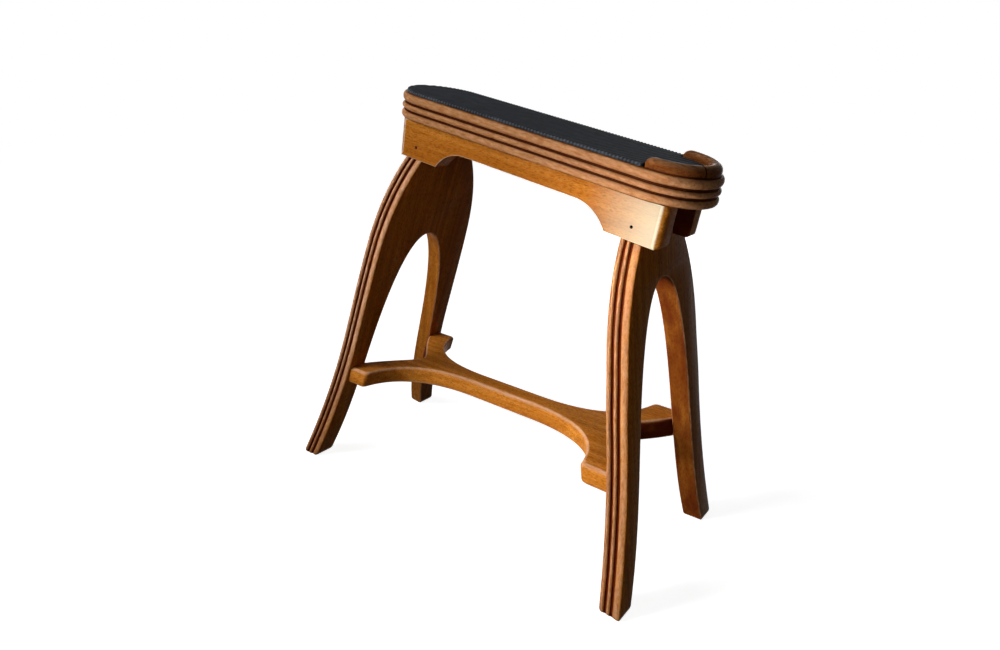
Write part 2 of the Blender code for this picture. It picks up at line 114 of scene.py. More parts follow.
def hermite(start: Array, leave: Array, end: Array, arrive: Array, shares: Array) -> Array:
    """Points of a cubic between two places.

    Formula: with t the share and s = 1 - t, a point is s*s*(1+2t) of the start, t*t*(3-2t) of the
    end, s*s*t of the leaving vector and minus t*t*s of the arriving vector.

    Args:
        start: Where the cubic starts, (2,), or one place for each layer, (k, 1, 2).
        leave: Its leaving vector, (2,).
        end: Where it ends, of the same shape as the start.
        arrive: Its arriving vector, (2,).
        shares: Shares of the way, (n,).

    Returns:
        The points, (n, 2) or (k, n, 2).
    """
    t = shares[:, None]
    s = 1 - t
    return s * s * (1 + 2 * t) * start + t * t * (3 - 2 * t) * end + s * s * t * leave - t * t * s * arrive


def rise_curve(start: Array, start_slope: float, end: Array, end_slope: float, shares: Array) -> Array:
    """Points (across, up) of a cubic that rises evenly while its width follows two end slopes.

    Args:
        start: Lower end, (2,).
        start_slope: Change of width for each unit of rise at the lower end.
        end: Upper end, (2,).
        end_slope: The same at the upper end.
        shares: Shares of the rise, (n,).

    Returns:
        The points, (n, 2).
    """
    rise = end[1] - start[1]
    return hermite(start, rise * np.array((start_slope, 1)), end, rise * np.array((end_slope, 1)), shares)


def arc(centre: Array, radius: Array | float, first: float, last: float, count: int) -> Array:
    """Points of an arc: centre plus radius times (cosine, sine) of an evenly growing angle.

    Args:
        centre: Middle of the arc, broadcast to (..., count, 2).
        radius: One radius, or one for each layer as (k, 1).
        first: First angle in radians.
        last: Last angle in radians.
        count: Points on the arc, both ends included.

    Returns:
        The points, (count, 2) or (k, count, 2).
    """
    turn = np.linspace(first, last, count)
    reach = np.asarray(radius)
    return centre + np.stack((reach * np.cos(turn), reach * np.sin(turn)), axis=-1)


def reeds(widths: tuple[float, ...], groove: float, depth: float, arris: float) -> tuple[Array, ...]:
    """Section of an edge worked into reeds with flat groove floors between them.

    Formula: each reed is half an ellipse, as wide as it is given and one depth high, so its place is
    start + width * (1 - cos a) / 2 and its inset depth * (1 - sin a) for a from 0 to half a turn. The
    first and last flanks, which meet the faces, drop by the arris in place of the depth.

    Args:
        widths: Width of each reed from the first face to the last.
        groove: Width of the groove floors between them.
        depth: Height of a reed over the groove floors.
        arris: Drop of the two outermost flanks to the faces.

    Returns:
        Places across the edge, the inset at each, how far each lies below its reed's crest, from 0 to
        1, and the same with the two outermost flanks left out; all (k,).
    """
    width = np.array(widths)
    starts = np.cumsum(width + groove) - width - groove
    turn = np.linspace(0, math.pi, 13)
    across = (starts[:, None] + width[:, None] * (1 - np.cos(turn)) / 2).ravel()
    sunk = np.tile(1 - np.sin(turn), width.size)
    outer = (across < width[0] / 2) | (across > across[-1] - width[-1] / 2)
    return across, np.where(outer, arris, depth) * sunk, sunk, np.where(outer, 0.0, sunk)


def rounded(distance: Array, radius: float) -> Array:
    """Inset of a quarter round at distances from its face: radius minus the circle's height there."""
    short = np.clip(radius - distance, 0, radius)
    return radius - np.sqrt(radius**2 - short**2)


def eased(across: Array, thickness: float, radius: float) -> Array:
    """Inset, at places through the thickness, of an edge whose two arrises are rounded."""
    return rounded(np.minimum(across, thickness - across), radius)


def rounding(radius: float, count: int) -> Array:
    """Places at which to lay a quarter round: radius * (1 - cos a) for a up to a quarter turn."""
    return radius * (1 - np.cos(np.linspace(0, math.pi / 2, count)))


def arris_wear_and_highlight(share: Array) -> Array:
    """How pale an arris is made by wear and painted highlight, 4 s (1 - s) of the inset's share s: not on the
    flats, most halfway round.
    """
    return 4 * share * (1 - share)


def layered(outlines: Array, levels: Array) -> Array:
    """Outlines, (k, n, 2), with the level of each layer, (k,), as a third coordinate, (k, n, 3)."""
    heights = np.broadcast_to(levels[:, None, None], outlines.shape[:2] + (1,))
    return np.concatenate((outlines, heights), axis=-1)


def inward(loop: Array) -> Array:
    """Unit vectors across a closed outline, pointing into it.

    Formula: the step from the point before to the point after, turned a quarter to the side on which
    the outline's area lies.

    Args:
        loop: Outline points, (n, 2).

    Returns:
        The vectors, (n, 2).
    """
    ahead = np.roll(loop, -1, axis=0)
    step = ahead - np.roll(loop, 1, axis=0)
    area = np.sum(loop[:, 0] * ahead[:, 1] - ahead[:, 0] * loop[:, 1])
    side = np.sign(area) * np.stack((-step[:, 1], step[:, 0]), axis=-1)
    return side / np.linalg.norm(side, axis=1, keepdims=True)


@dataclass(frozen=True)
class Seat:
    """A place that carries pieces: its origin in millimetres and its turn about the Y axis."""

    x: float
    z: float
    turn: float

    def row(self, points: Array) -> Array:
        """Turn points on the seat into the row frame, in metres.

        Formula: x and z turn about Y by the seat's angle, then the origin is added.

        Args:
            points: Points on the seat in millimetres, (..., 3).

        Returns:
            The same points in the row frame, (..., 3).
        """
        c, s = math.cos(self.turn), math.sin(self.turn)
        x, y, z = np.moveaxis(points, -1, 0)
        return MM * np.stack((self.x + x * c + z * s, y, self.z - x * s + z * c), axis=-1)


@dataclass(frozen=True)
class Stance:
    """How the top is carried over the floor, and the sizes that several pieces share."""

    tilt: float = math.radians(9.8)
    height: float = 391.0
    apron_depth: float = 43.0
    apron_spread: float = 91.0
    board_thickness: float = 28.0
    pin_height: float = 14.0
    stop_centre: float = 146.0
    stop_radius: float = 40.8

    @property
    def top_face(self) -> float:
        """Height of the board's upper face on the tilted seat."""
        return self.apron_depth + self.board_thickness

    def top_seat(self) -> Seat:
        """The tilted seat, found from the middle of the board's box in the frame.

        Formula: along the seat's upright axis that middle lies one apron and half a board up, and the
        seat's own height is given.

        Returns:
            The seat, whose X axis runs down the slope to the heel end.
        """
        low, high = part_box("top_board")
        middle = (low[0] + high[0]) / 2 / MM
        lift = self.apron_depth + self.board_thickness / 2
        return Seat(middle - lift * math.sin(self.tilt), self.height, self.tilt)

    def leg_seat(self, joint: float, rake: float) -> Seat:
        """The seat of a leg frame: where its middle plane meets the floor below its pin.

        Args:
            joint: Place of the pin along the tilted top.
            rake: Lean of the leg frame towards +X, in radians.

        Returns:
            The seat, whose upright axis runs up the middle plane.
        """
        x, _, z = self.top_seat().row(np.array((joint, 0.0, self.pin_height))) / MM
        return Seat(float(x - z * math.tan(rake)), 0.0, rake)


@dataclass
class Skin:
    """Surface of one piece, put together from grids of points on its seat."""

    seat: Seat
    points: list[Array] = field(default_factory=list)
    grain: list[Array] = field(default_factory=list)
    recess: list[Array] = field(default_factory=list)
    wear: list[Array] = field(default_factory=list)
    faces: list[list[int]] = field(default_factory=list)
    flats: list[int] = field(default_factory=list)
    count: int = 0

    def add_grid(
        self,
        points: Array,
        grain: Array,
        recess: Array | float = 0.0,
        wear: Array | float = 0.0,
        closed: bool = True,
    ) -> Array:
        """Add a grid of points and the quads between them.

        Args:
            points: Grid in millimetres, (rows, columns, 3).
            grain: The same points along, across and through the grain, (rows, columns, 3).
            recess: How dark each point is made by grime, dark joints and painted shade, 0 to 1.
            wear: How pale each point is made by wear and painted highlight, 0 to 1.
            closed: Whether the last column joins the first.

        Returns:
            Index of each point in the piece, (rows, columns).
        """
        rows, columns = points.shape[:2]
        index = self.count + np.arange(rows * columns).reshape(rows, columns)
        after = np.roll(index, -1, axis=1)
        quads = np.stack((index[:-1], after[:-1], after[1:], index[1:]), axis=-1)
        if not closed:
            quads = quads[:, :-1]
        self.faces.extend(quads.reshape(-1, 4).tolist())
        self.points.append(points.reshape(-1, 3))
        self.grain.append(grain.reshape(-1, 3))
        self.recess.append(np.broadcast_to(recess, (rows, columns)).ravel())
        self.wear.append(np.broadcast_to(wear, (rows, columns)).ravel())
        self.count += rows * columns
        return index

    def add_face(self, ring: Array) -> None:
        """Close an opening with one flat face over a ring of point indices."""
        self.flats.append(len(self.faces))
        self.faces.append(ring.tolist())

    def add_body(self, points: Array, grain: Array, recess: Array, wear: Array) -> None:
        """Add a closed grid, as add_grid takes it, with a flat face over its first and last rows."""
        for ring in self.add_grid(points, grain, recess, wear)[[0, -1]]:
            self.add_face(ring)

    def add_ladder(self, first: Array, second: Array) -> None:
        """Join two equal rows of point indices with quads, rung by rung."""
        rungs = np.stack((first[:-1], first[1:], second[1:], second[:-1]), axis=-1)
        self.faces.extend(rungs.tolist())

    def build(self, name: str, material: bpy.types.Material, slot: str, *nodes: str) -> bpy.types.Object:
        """Make the piece an object that stands for solids of the frame.

        Args:
            name: Name of the new piece.
            material: Its finish.
            slot: The record's material slot; not used.
            nodes: The solids that it replaces.

        Returns:
            The object, at the origin with its place in its mesh.
        """
        mesh = bpy.data.meshes.new(name)
        mesh.from_pydata(self.seat.row(np.concatenate(self.points)).tolist(), [], self.faces)
        for key, kind, part, rows in (
            ("grain", "FLOAT_VECTOR", "vector", self.grain),
            ("recess", "FLOAT", "value", self.recess),
            ("wear", "FLOAT", "value", self.wear),
        ):
            layer = mesh.attributes.new(key, kind, "POINT")
            layer.data.foreach_set(part, np.concatenate(rows).ravel())
        mesh.shade_smooth()
        shell = bmesh.new()
        shell.from_mesh(mesh)
        shell.faces.ensure_lookup_table()
        for number in self.flats:
            shell.faces[number].smooth = False
        bmesh.ops.remove_doubles(shell, verts=shell.verts, dist=1e-6)
        bmesh.ops.recalc_face_normals(shell, faces=shell.faces)
        shell.to_mesh(mesh)
        shell.free()
        mesh.set_sharp_from_angle(angle=CRISP)
        mesh.materials.append(material)
        piece = bpy.data.objects.new(name, mesh)
        bpy.context.collection.objects.link(piece)
        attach(piece, "root")
        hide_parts(*nodes)
        log.info("%s: %d points, %d faces", name, len(mesh.vertices), len(mesh.polygons))
        return piece


def linear(code: str) -> tuple[float, float, float, float]:
    """Turn an sRGB hex colour into linear red, green, blue and a full alpha.

    Args:
        code: The colour as "#rrggbb".

    Returns:
        The linear colour.
    """
    parts = np.array([int(code[i : i + 2], 16) for i in (1, 3, 5)]) / 255
    red, green, blue = np.where(parts <= 0.04045, parts / 12.92, ((parts + 0.055) / 1.055) ** 2.4).tolist()
    return red, green, blue, 1.0


def feed(node: bpy.types.Node, inputs: dict[str | int, object]) -> None:
    """Give inputs of a node their values, or links from the sockets that feed them.

    Args:
        node: The node.
        inputs: For each input, by name or place, a value or a socket.
    """
    for key, value in inputs.items():
        if isinstance(value, Socket):
            node.id_data.links.new(value, node.inputs[key])
        else:
            node.inputs[key].default_value = value


def add_node(
    tree: bpy.types.NodeTree,
    kind: str,
    inputs: dict[str | int, object] | None = None,
    out: str | int = 0,
    stops: tuple[tuple[float, str], ...] = (),
    **settings: object,
) -> Socket:
    """Add one shader node with its settings, its links and, on a ramp, its colour stops.

    Args:
        tree: The node tree.
        kind: Type name of the node after "ShaderNode".
        inputs: For each input, by name or place, a value or the socket that feeds it.
        out: The output that is wanted, by name or place.
        stops: Places and hex colours of a ramp.
        settings: The node's own properties.

    Returns:
        The wanted output.
    """
    node = tree.nodes.new("ShaderNode" + kind)
    for key, value in settings.items():
        setattr(node, key, value)
    feed(node, inputs or {})
    for number, (place, colour) in enumerate(stops):
        elements = node.color_ramp.elements
        stop = elements[number] if number < 2 else elements.new(place)
        stop.position = place
        stop.color = linear(colour)
    return node.outputs[out]


def new_material(name: str) -> tuple[bpy.types.Material, bpy.types.NodeTree, bpy.types.Node]:
    """Start a material.

    Args:
        name: Its name.

    Returns:
        The material, its node tree and its Principled shader.
    """
    material = bpy.data.materials.new(name)
    material.use_nodes = True
    return material, material.node_tree, material.node_tree.nodes["Principled BSDF"]


@dataclass(frozen=True)
class VarnishedBeech:
    """Steamed beech under a worn satin varnish.

    It gives the eye an even honey brown with long faint streaks and short dark flecks, a soft broad
    gloss, grime and painted shade in the grooves and hollows, and paler wood where shoes and hands
    have rubbed the varnish and where highlights and a reflection are painted.
    """

    name: str
    source: GrainSource = GrainSource.PIECE
    shade: str = "#8a4c12"
    body: str = "#ab641e"
    light: str = "#cc8736"
    fleck: str = "#5a2806"
    # The grime colour lies where dirt gathers, and also as painted shade in grooves, seams and hollows.
    grime_and_shade: str = "#54140a"
    # The rubbed colour is wear on arrises and the lip, painted highlight on the crests of the reeds, and the
    # painted reflection on the near apron.
    rubbed: str = "#deb290"
    roughness: float = 0.13
    specular: float = 0.003

    # Painted reflection of a lamp on the heel end of the near apron: its most, the millimetres along the
    # grain over which it grows, and the signed millimetres through the wood that keep it to the outer
    # face of the near apron.
    painted_reflection: float = 0.0
    reflection_run: tuple[float, float] = (80.0, 185.0)
    reflection_skin: tuple[float, float] = (-44.2, -45.5)

    # Shares: of flecks in the figure, of patches in the grime and painted shade, and of grime and
    # painted shade in the dulling of the gloss.
    fleck_share: float = 0.6
    patch_grime: float = 0.5
    grime_and_shade_dull: float = 0.4

    # Streaks run about 170 mm along the grain and 7 mm across it. The flecks of beech are 1 to 3 mm
    # long and a hair wide, too fine for the picture, so they are drawn about 6 mm by 1.7 mm. Gloss and
    # grime change in patches of about 60 mm by 26 mm, and scuffs are about 9 mm by 2.6 mm.
    streak: tuple[float, float, float] = (170.0, 7.0, 7.0)
    flecks: tuple[float, float, float] = (6.0, 1.7, 1.7)
    patch: tuple[float, float, float] = (60.0, 26.0, 26.0)
    scuff: tuple[float, float, float] = (9.0, 2.6, 2.6)

    def spread(self, size: tuple[float, float, float]) -> tuple[float, float, float]:
        """Scale of a pattern whose marks have a size in millimetres along, across and through the grain."""
        unit = 1.0 if self.source is GrainSource.PIECE else 1 / MM
        return tuple(unit / part for part in size)

    @cached_property
    def material(self) -> bpy.types.Material:
        """The node material, built once and shared by every piece of this finish.

        Formula: streaks and flecks shade the wood from dark to light. Over it lie dark flecks, then the
        rubbed colour by the wear times the scuffs, as wear and painted highlight, with a painted reflection
        where the wood is set to fade, and then grime where the recess and the patches add up, as grime and
        painted shade.

        Returns:
            The material.
        """
        material, tree, shader = new_material(self.name)
        if self.source is GrainSource.PIECE:
            run = add_node(tree, "Attribute", out="Vector", attribute_name="grain")
        else:
            run = add_node(tree, "TexCoord", out="Object")
        recess = add_node(tree, "Attribute", out="Fac", attribute_name="recess")
        wear = add_node(tree, "Attribute", out="Fac", attribute_name="wear")
        noise: dict[str, Socket] = {}
        for key, size, detail in (
            ("streak", self.streak, 5.0),
            ("fleck", self.flecks, 2.0),
            ("patch", self.patch, 3.0),
            ("scuff", self.scuff, 3.0),
        ):
            spot = add_node(tree, "Mapping", {"Vector": run, "Scale": self.spread(size)})
            marks = {"Vector": spot, "Scale": 1.0, "Detail": detail, "Roughness": 0.55}
            noise[key] = add_node(tree, "TexNoise", marks)

        strands = {FACTOR: self.fleck_share, LOW: noise["streak"], HIGH: noise["fleck"]}
        figure = add_node(tree, "Mix", strands)
        tones = ((0.36, self.shade), (0.64, self.light), (0.5, self.body))
        colour = add_node(tree, "ValToRGB", {"Fac": figure}, stops=tones)
        fleck_run = {"From Min": 0.54, "From Max": 0.68, "To Max": 0.7}
        speck = add_node(tree, "MapRange", {"Value": noise["fleck"], **fleck_run})
        rub_run = {"From Min": 0.32, "From Max": 0.66, "To Min": 0.3, "To Max": 0.85}
        rub_noise = add_node(tree, "MapRange", {"Value": noise["scuff"], **rub_run})
        # Wear and painted highlight: the wear attribute times the scuffs.
        rub_and_highlight = add_node(tree, "Math", {0: wear, 1: rub_noise}, operation="MULTIPLY")
        smooth = {"interpolation_type": "SMOOTHSTEP"}
        product = {"operation": "MULTIPLY_ADD", "use_clamp": True}
        # Painted reflection: the rubbed colour grows along the near apron's heel end, in place of a lamp's
        # reflection in the varnish.
        if self.painted_reflection:
            place = add_node(tree, "SeparateXYZ", {"Vector": run}).node.outputs
            fades = (("X", self.reflection_run, self.painted_reflection), ("Z", self.reflection_skin, 1.0))
            along, skin = (
                add_node(
                    tree,
                    "MapRange",
                    {"Value": place[axis], "From Min": first, "From Max": last, "To Max": most},
                    **smooth,
                )
                for axis, (first, last), most in fades
            )
            rub_and_highlight = add_node(tree, "Math", {0: along, 1: skin, 2: rub_and_highlight}, **product)
        # Grime and painted shade: random patches plus the recess attribute.
        patches = {0: noise["patch"], 1: self.patch_grime, 2: recess}
        dirt_and_shade_level = add_node(tree, "Math", patches, operation="MULTIPLY_ADD")
        dirt_and_shade_run = {"From Min": 0.66, "From Max": 1.05, "To Max": 0.94}
        dirt_and_shade = add_node(tree, "MapRange", {"Value": dirt_and_shade_level, **dirt_and_shade_run}, **smooth)
        for share, over in ((speck, self.fleck), (rub_and_highlight, self.rubbed), (dirt_and_shade, self.grime_and_shade)):
            coats = {FACTOR: share, FIRST: colour, SECOND: linear(over)}
            colour = add_node(tree, "Mix", coats, MIXED, data_type="RGBA")
        low, high = self.roughness - 0.05, self.roughness + 0.07
        gloss_run = {"From Min": 0.3, "From Max": 0.7, "To Min": low, "To Max": high}
        gloss = add_node(tree, "MapRange", {"Value": noise["patch"], **gloss_run})
        dulled = add_node(tree, "Math", {0: dirt_and_shade, 1: self.grime_and_shade_dull, 2: gloss}, **product)
        bump = add_node(tree, "Bump", {"Height": noise["fleck"], "Strength": 0.25, "Distance": 0.35 * MM})
        feed(shader, {"Base Color": colour, "Roughness": dulled, "Normal": bump})
        feed(shader, {"Specular IOR Level": self.specular})
        return material


@dataclass(frozen=True)
class RibbedRubber:
    """Black vulcanised rubber matting, moulded with fine ribs.

    It gives the eye a blue-black charcoal that is dull in the grooves, a little paler with dust and
    scuffs on the ribs, and a faint broad sheen.
    """

    name: str = "vulcanised_rubber"
    body: str = "#181a1e"
    dust: str = "#5c6168"
    roughness: float = 0.6
    specular: float = 0.04
    rib_dust: float = 0.55

    # Scuffs are 12 to 40 mm across and the moulded grain 1.2 mm.
    scuff: float = 28.0
    grit: float = 1.2

    @cached_property
    def material(self) -> bpy.types.Material:
        """The node material, built once and shared by every piece of this finish.

        Formula: dust lies over the black by the wear of the ribs and the larger scuffs.

        Returns:
            The material.
        """
        material, tree, shader = new_material(self.name)
        run = add_node(tree, "Attribute", out="Vector", attribute_name="grain")
        wear = add_node(tree, "Attribute", out="Fac", attribute_name="wear")
        marks = {"Vector": run, "Scale": 1 / self.scuff, "Detail": 6.0, "Roughness": 0.65}
        scuffs = add_node(tree, "TexNoise", marks)
        grit = add_node(tree, "TexNoise", {"Vector": run, "Scale": 1 / self.grit, "Detail": 2.0})
        dust_run = {"From Min": 0.4, "From Max": 0.75, "To Max": 0.45}
        rubbed = add_node(tree, "MapRange", {"Value": scuffs, **dust_run})
        product = {"operation": "MULTIPLY_ADD", "use_clamp": True}
        share = add_node(tree, "Math", {0: wear, 1: self.rib_dust, 2: rubbed}, **product)
        coats = {FACTOR: share, FIRST: linear(self.body), SECOND: linear(self.dust)}
        colour = add_node(tree, "Mix", coats, MIXED, data_type="RGBA")
        gloss_run = {"To Min": self.roughness - 0.1, "To Max": self.roughness + 0.15}
        gloss = add_node(tree, "MapRange", {"Value": scuffs, **gloss_run})
        bump = add_node(tree, "Bump", {"Height": grit, "Strength": 0.35, "Distance": 0.2 * MM})
        feed(shader, {"Base Color": colour, "Roughness": gloss, "Normal": bump})
        feed(shader, {"Specular IOR Level": self.specular})
        return material


@dataclass(frozen=True)
class BrownedSteel:
    """Drawn mild steel gone brown with age.

    It gives the eye a dull dark metal with rusty blotches and a weak glint on its edges.
    """

    name: str
    bare: str = "#6d6760"
    rust: str = "#3a2417"
    roughness: float = 0.45

    # Rust blotches are about 1.5 mm across.
    blotch: float = 1.5

    @cached_property
    def material(self) -> bpy.types.Material:
        """The node material, built once and shared by every piece of this finish.

        Formula: one noise turns the bare metal to rust and its gloss to a dull skin.

        Returns:
            The material.
        """
        material, tree, shader = new_material(self.name)
        place = add_node(tree, "TexCoord", out="Object")
        marks = {"Vector": place, "Scale": 1 / (self.blotch * MM), "Detail": 4.0}
        blotch = add_node(tree, "TexNoise", marks)
        tones = ((0.4, self.bare), (0.62, self.rust))
        colour = add_node(tree, "ValToRGB", {"Fac": blotch}, stops=tones)
        gloss_run = {"To Min": self.roughness - 0.15, "To Max": self.roughness + 0.25}
        gloss = add_node(tree, "MapRange", {"Value": blotch, **gloss_run})
        feed(shader, {"Base Color": colour, "Roughness": gloss, "Metallic": 1.0})
        return material


@dataclass
class TopBoard:
    """The long board with round ends, its edge worked into three reeds."""

    stance: Stance
    finish: VarnishedBeech
    length: float = 395.6
    width: float = 104.0
    reed_widths: tuple[float, ...] = (8.0, 6.0, 9.4)
    reed_depth: float = 3.0
    groove: float = 2.3
    # Paler crests of the reeds are painted highlight.
    crest_highlight: float = 0.85
    # The darkened seam over the aprons is painted shadow.
    seam_shadow: float = 0.8

    # Where the grain of the piece begins in its plank, in millimetres along, across and through it.
    cut: tuple[float, float, float] = (30.0, 10.0, 0.0)

    @property
    def end_centre(self) -> float:
        """Place along the board of the middle of its round end."""
        return (self.length - self.width) / 2

    def outline(self, inset: Array) -> Array:
        """Outline of the board drawn in by an inset, one for each layer.

        Formula: a half circle round each end, its radius half the width less the inset.

        Args:
            inset: Insets, (k,).

        Returns:
            The outlines, (k, n, 2).
        """
        radius = self.width / 2 - inset[:, None]
        ahead = np.array((self.end_centre, 0.0))
        front = arc(ahead, radius, -math.pi / 2, math.pi / 2, 61)
        rear = arc(-ahead, radius, math.pi / 2, 3 * math.pi / 2, 61)
        return np.concatenate((front, rear), axis=1)

    def build(self) -> bpy.types.Object:
        """Carry the reeded section round the outline and close both faces.

        Formula: each layer is the outline drawn in by the inset of the reeds at its height.

        Returns:
            The board.
        """
        across, inset, sunk, recess = reeds(self.reed_widths, self.groove, self.reed_depth, self.reed_depth)
        # Painted light from above: the upper flank of each reed is paler as painted highlight nearly down to
        # its groove, and the lower flank keeps its darkening as painted shade.
        upper = np.diff(sunk, append=1.0) > 0
        wear = self.crest_highlight * (1 - np.where(upper, sunk**4, sunk))
        recess = np.where(upper, recess**4, recess)
        # Painted shadow lies along the seam over the aprons.
        recess[1:3] = self.seam_shadow
        points = layered(self.outline(inset), self.stance.apron_depth + across)
        skin = Skin(self.stance.top_seat())
        skin.add_body(points, points + np.array(self.cut), recess[:, None], wear[:, None])
        return skin.build("top_board_reeded", self.finish.material, "top_wood", "top_board")


@dataclass
class RubberMat:
    """The ribbed mat on the board, round at the toe and stepped in to lie inside the heel stop."""

    stance: Stance
    finish: RibbedRubber
    half: float = 47.5
    heel_radius: float = 32.8
    step: float = 138.0
    corner: float = 3.0
    thickness: float = 3.6
    edge_round: float = 1.5
    rib_pitch: float = 4.0
    rib_depth: float = 0.9
    rib_rows: int = 6

    # Share of the edge's drop at which the ribs run out, share of the half width that has even lines,
    # and the millimetres about the heel's sides between which lines lie closer together.
    rib_end: float = 0.6
    even_share: float = 0.93
    notch: tuple[float, float] = (-2.0, 0.4)

    # Width is left at both ends of the mat, and the step's side has a run, so that no rows coincide.
    blunt: float = 0.02
    riser: float = 0.05

    def half_width(self, along: Array) -> Array:
        """Half width of the mat at places along it.

        Formula: half a circle at the toe, straight sides up to the step, whose corners are quarter
        circles, and inside the heel stop straight sides and half a circle of the heel radius.

        Args:
            along: Places along the mat, any shape.

        Returns:
            The half widths, same shape.
        """
        behind = np.clip(-self.stance.stop_centre - along, 0, None)
        turn = np.clip(along - self.step + self.corner, 0, self.corner)
        side = np.sqrt(np.clip(self.half**2 - behind**2, 0, None))
        wide = side - self.corner + np.sqrt(self.corner**2 - turn**2)
        ahead = np.clip(along - self.stance.stop_centre, 0, None)
        narrow = np.sqrt(np.clip(self.heel_radius**2 - ahead**2, 0, None))
        return np.where(along <= self.step, wide, narrow)

    def edge_distance(self, along: Array, across: Array) -> Array:
        """How far points of the mat lie inside its outline.

        Formula: behind the step the smaller of the distances to the round toe or side and to the step
        or its inner corner; past it the distance to the heel circle or its sides.

        Args:
            along: Places along the mat, any shape.
            across: Places across the mat, same shape.

        Returns:
            The distances, same shape.
        """
        side = np.abs(across)
        wide = self.half - np.hypot(np.clip(-self.stance.stop_centre - along, 0, None), side)
        step = np.hypot(self.step - along, np.clip(self.heel_radius - side, 0, None))
        narrow = self.heel_radius - np.hypot(np.clip(along - self.stance.stop_centre, 0, None), side)
        return np.clip(np.where(along <= self.step, np.minimum(wide, step), narrow), 0, None)

    def build(self) -> bpy.types.Object:
        """Lay straight ribs across the mat inside its outline.

        Formula: over the grid of (place along, share of the half width) the height is the thickness
        less a rib wave, half the rib depth times one minus the cosine of the place along over the
        pitch, and less a quarter round near the outline, where the ribs run out.

        Returns:
            The mat.
        """
        near = rounding(self.edge_round, 6)
        toe = -self.stance.stop_centre - self.half + self.blunt
        heel = self.stance.stop_centre + self.heel_radius - self.blunt
        run = np.arange(toe + self.edge_round, heel - self.edge_round, self.rib_pitch / self.rib_rows)
        stops = (toe + near, run, self.step - near, np.array((self.step + self.riser,)), heel - near)
        rows = np.unique(np.concatenate(stops).round(3))
        rim = 1 - near / self.half
        first, last = self.notch
        notch = np.linspace(self.heel_radius + first, self.heel_radius + last, 9) / self.half
        even = np.linspace(-self.even_share, self.even_share, 23)
        lines = np.concatenate((-rim, -notch, even, notch, rim))
        shares = np.unique(lines.round(5))

        across = shares * self.half_width(rows)[:, None]
        along = np.broadcast_to(rows[:, None], across.shape)
        drop = rounded(self.edge_distance(along, across), self.edge_round)
        wave = (1 - np.cos(2 * math.pi * along / self.rib_pitch)) / 2
        base = self.stance.top_face + GAP
        upper = base + self.thickness - drop - self.rib_depth * wave * (drop < self.rib_end * self.edge_round)
        top = np.stack((along, across, upper), axis=-1)
        bottom = np.stack((along, across, np.full_like(upper, base)), axis=-1)[:, ::-1]
        points = np.concatenate((top, bottom), axis=1)
        wear = np.concatenate((1 - wave, np.zeros_like(upper)), axis=1)
        skin = Skin(self.stance.top_seat())
        index = skin.add_grid(points, points, 0.0, wear)
        count = shares.size
        skin.add_ladder(index[0, :count], index[0, count:][::-1])
        skin.add_ladder(index[-1, :count], index[-1, count:][::-1])
        return skin.build("rubber_mat_ribbed", self.finish.material, "mat_rubber", "rubber_mat")


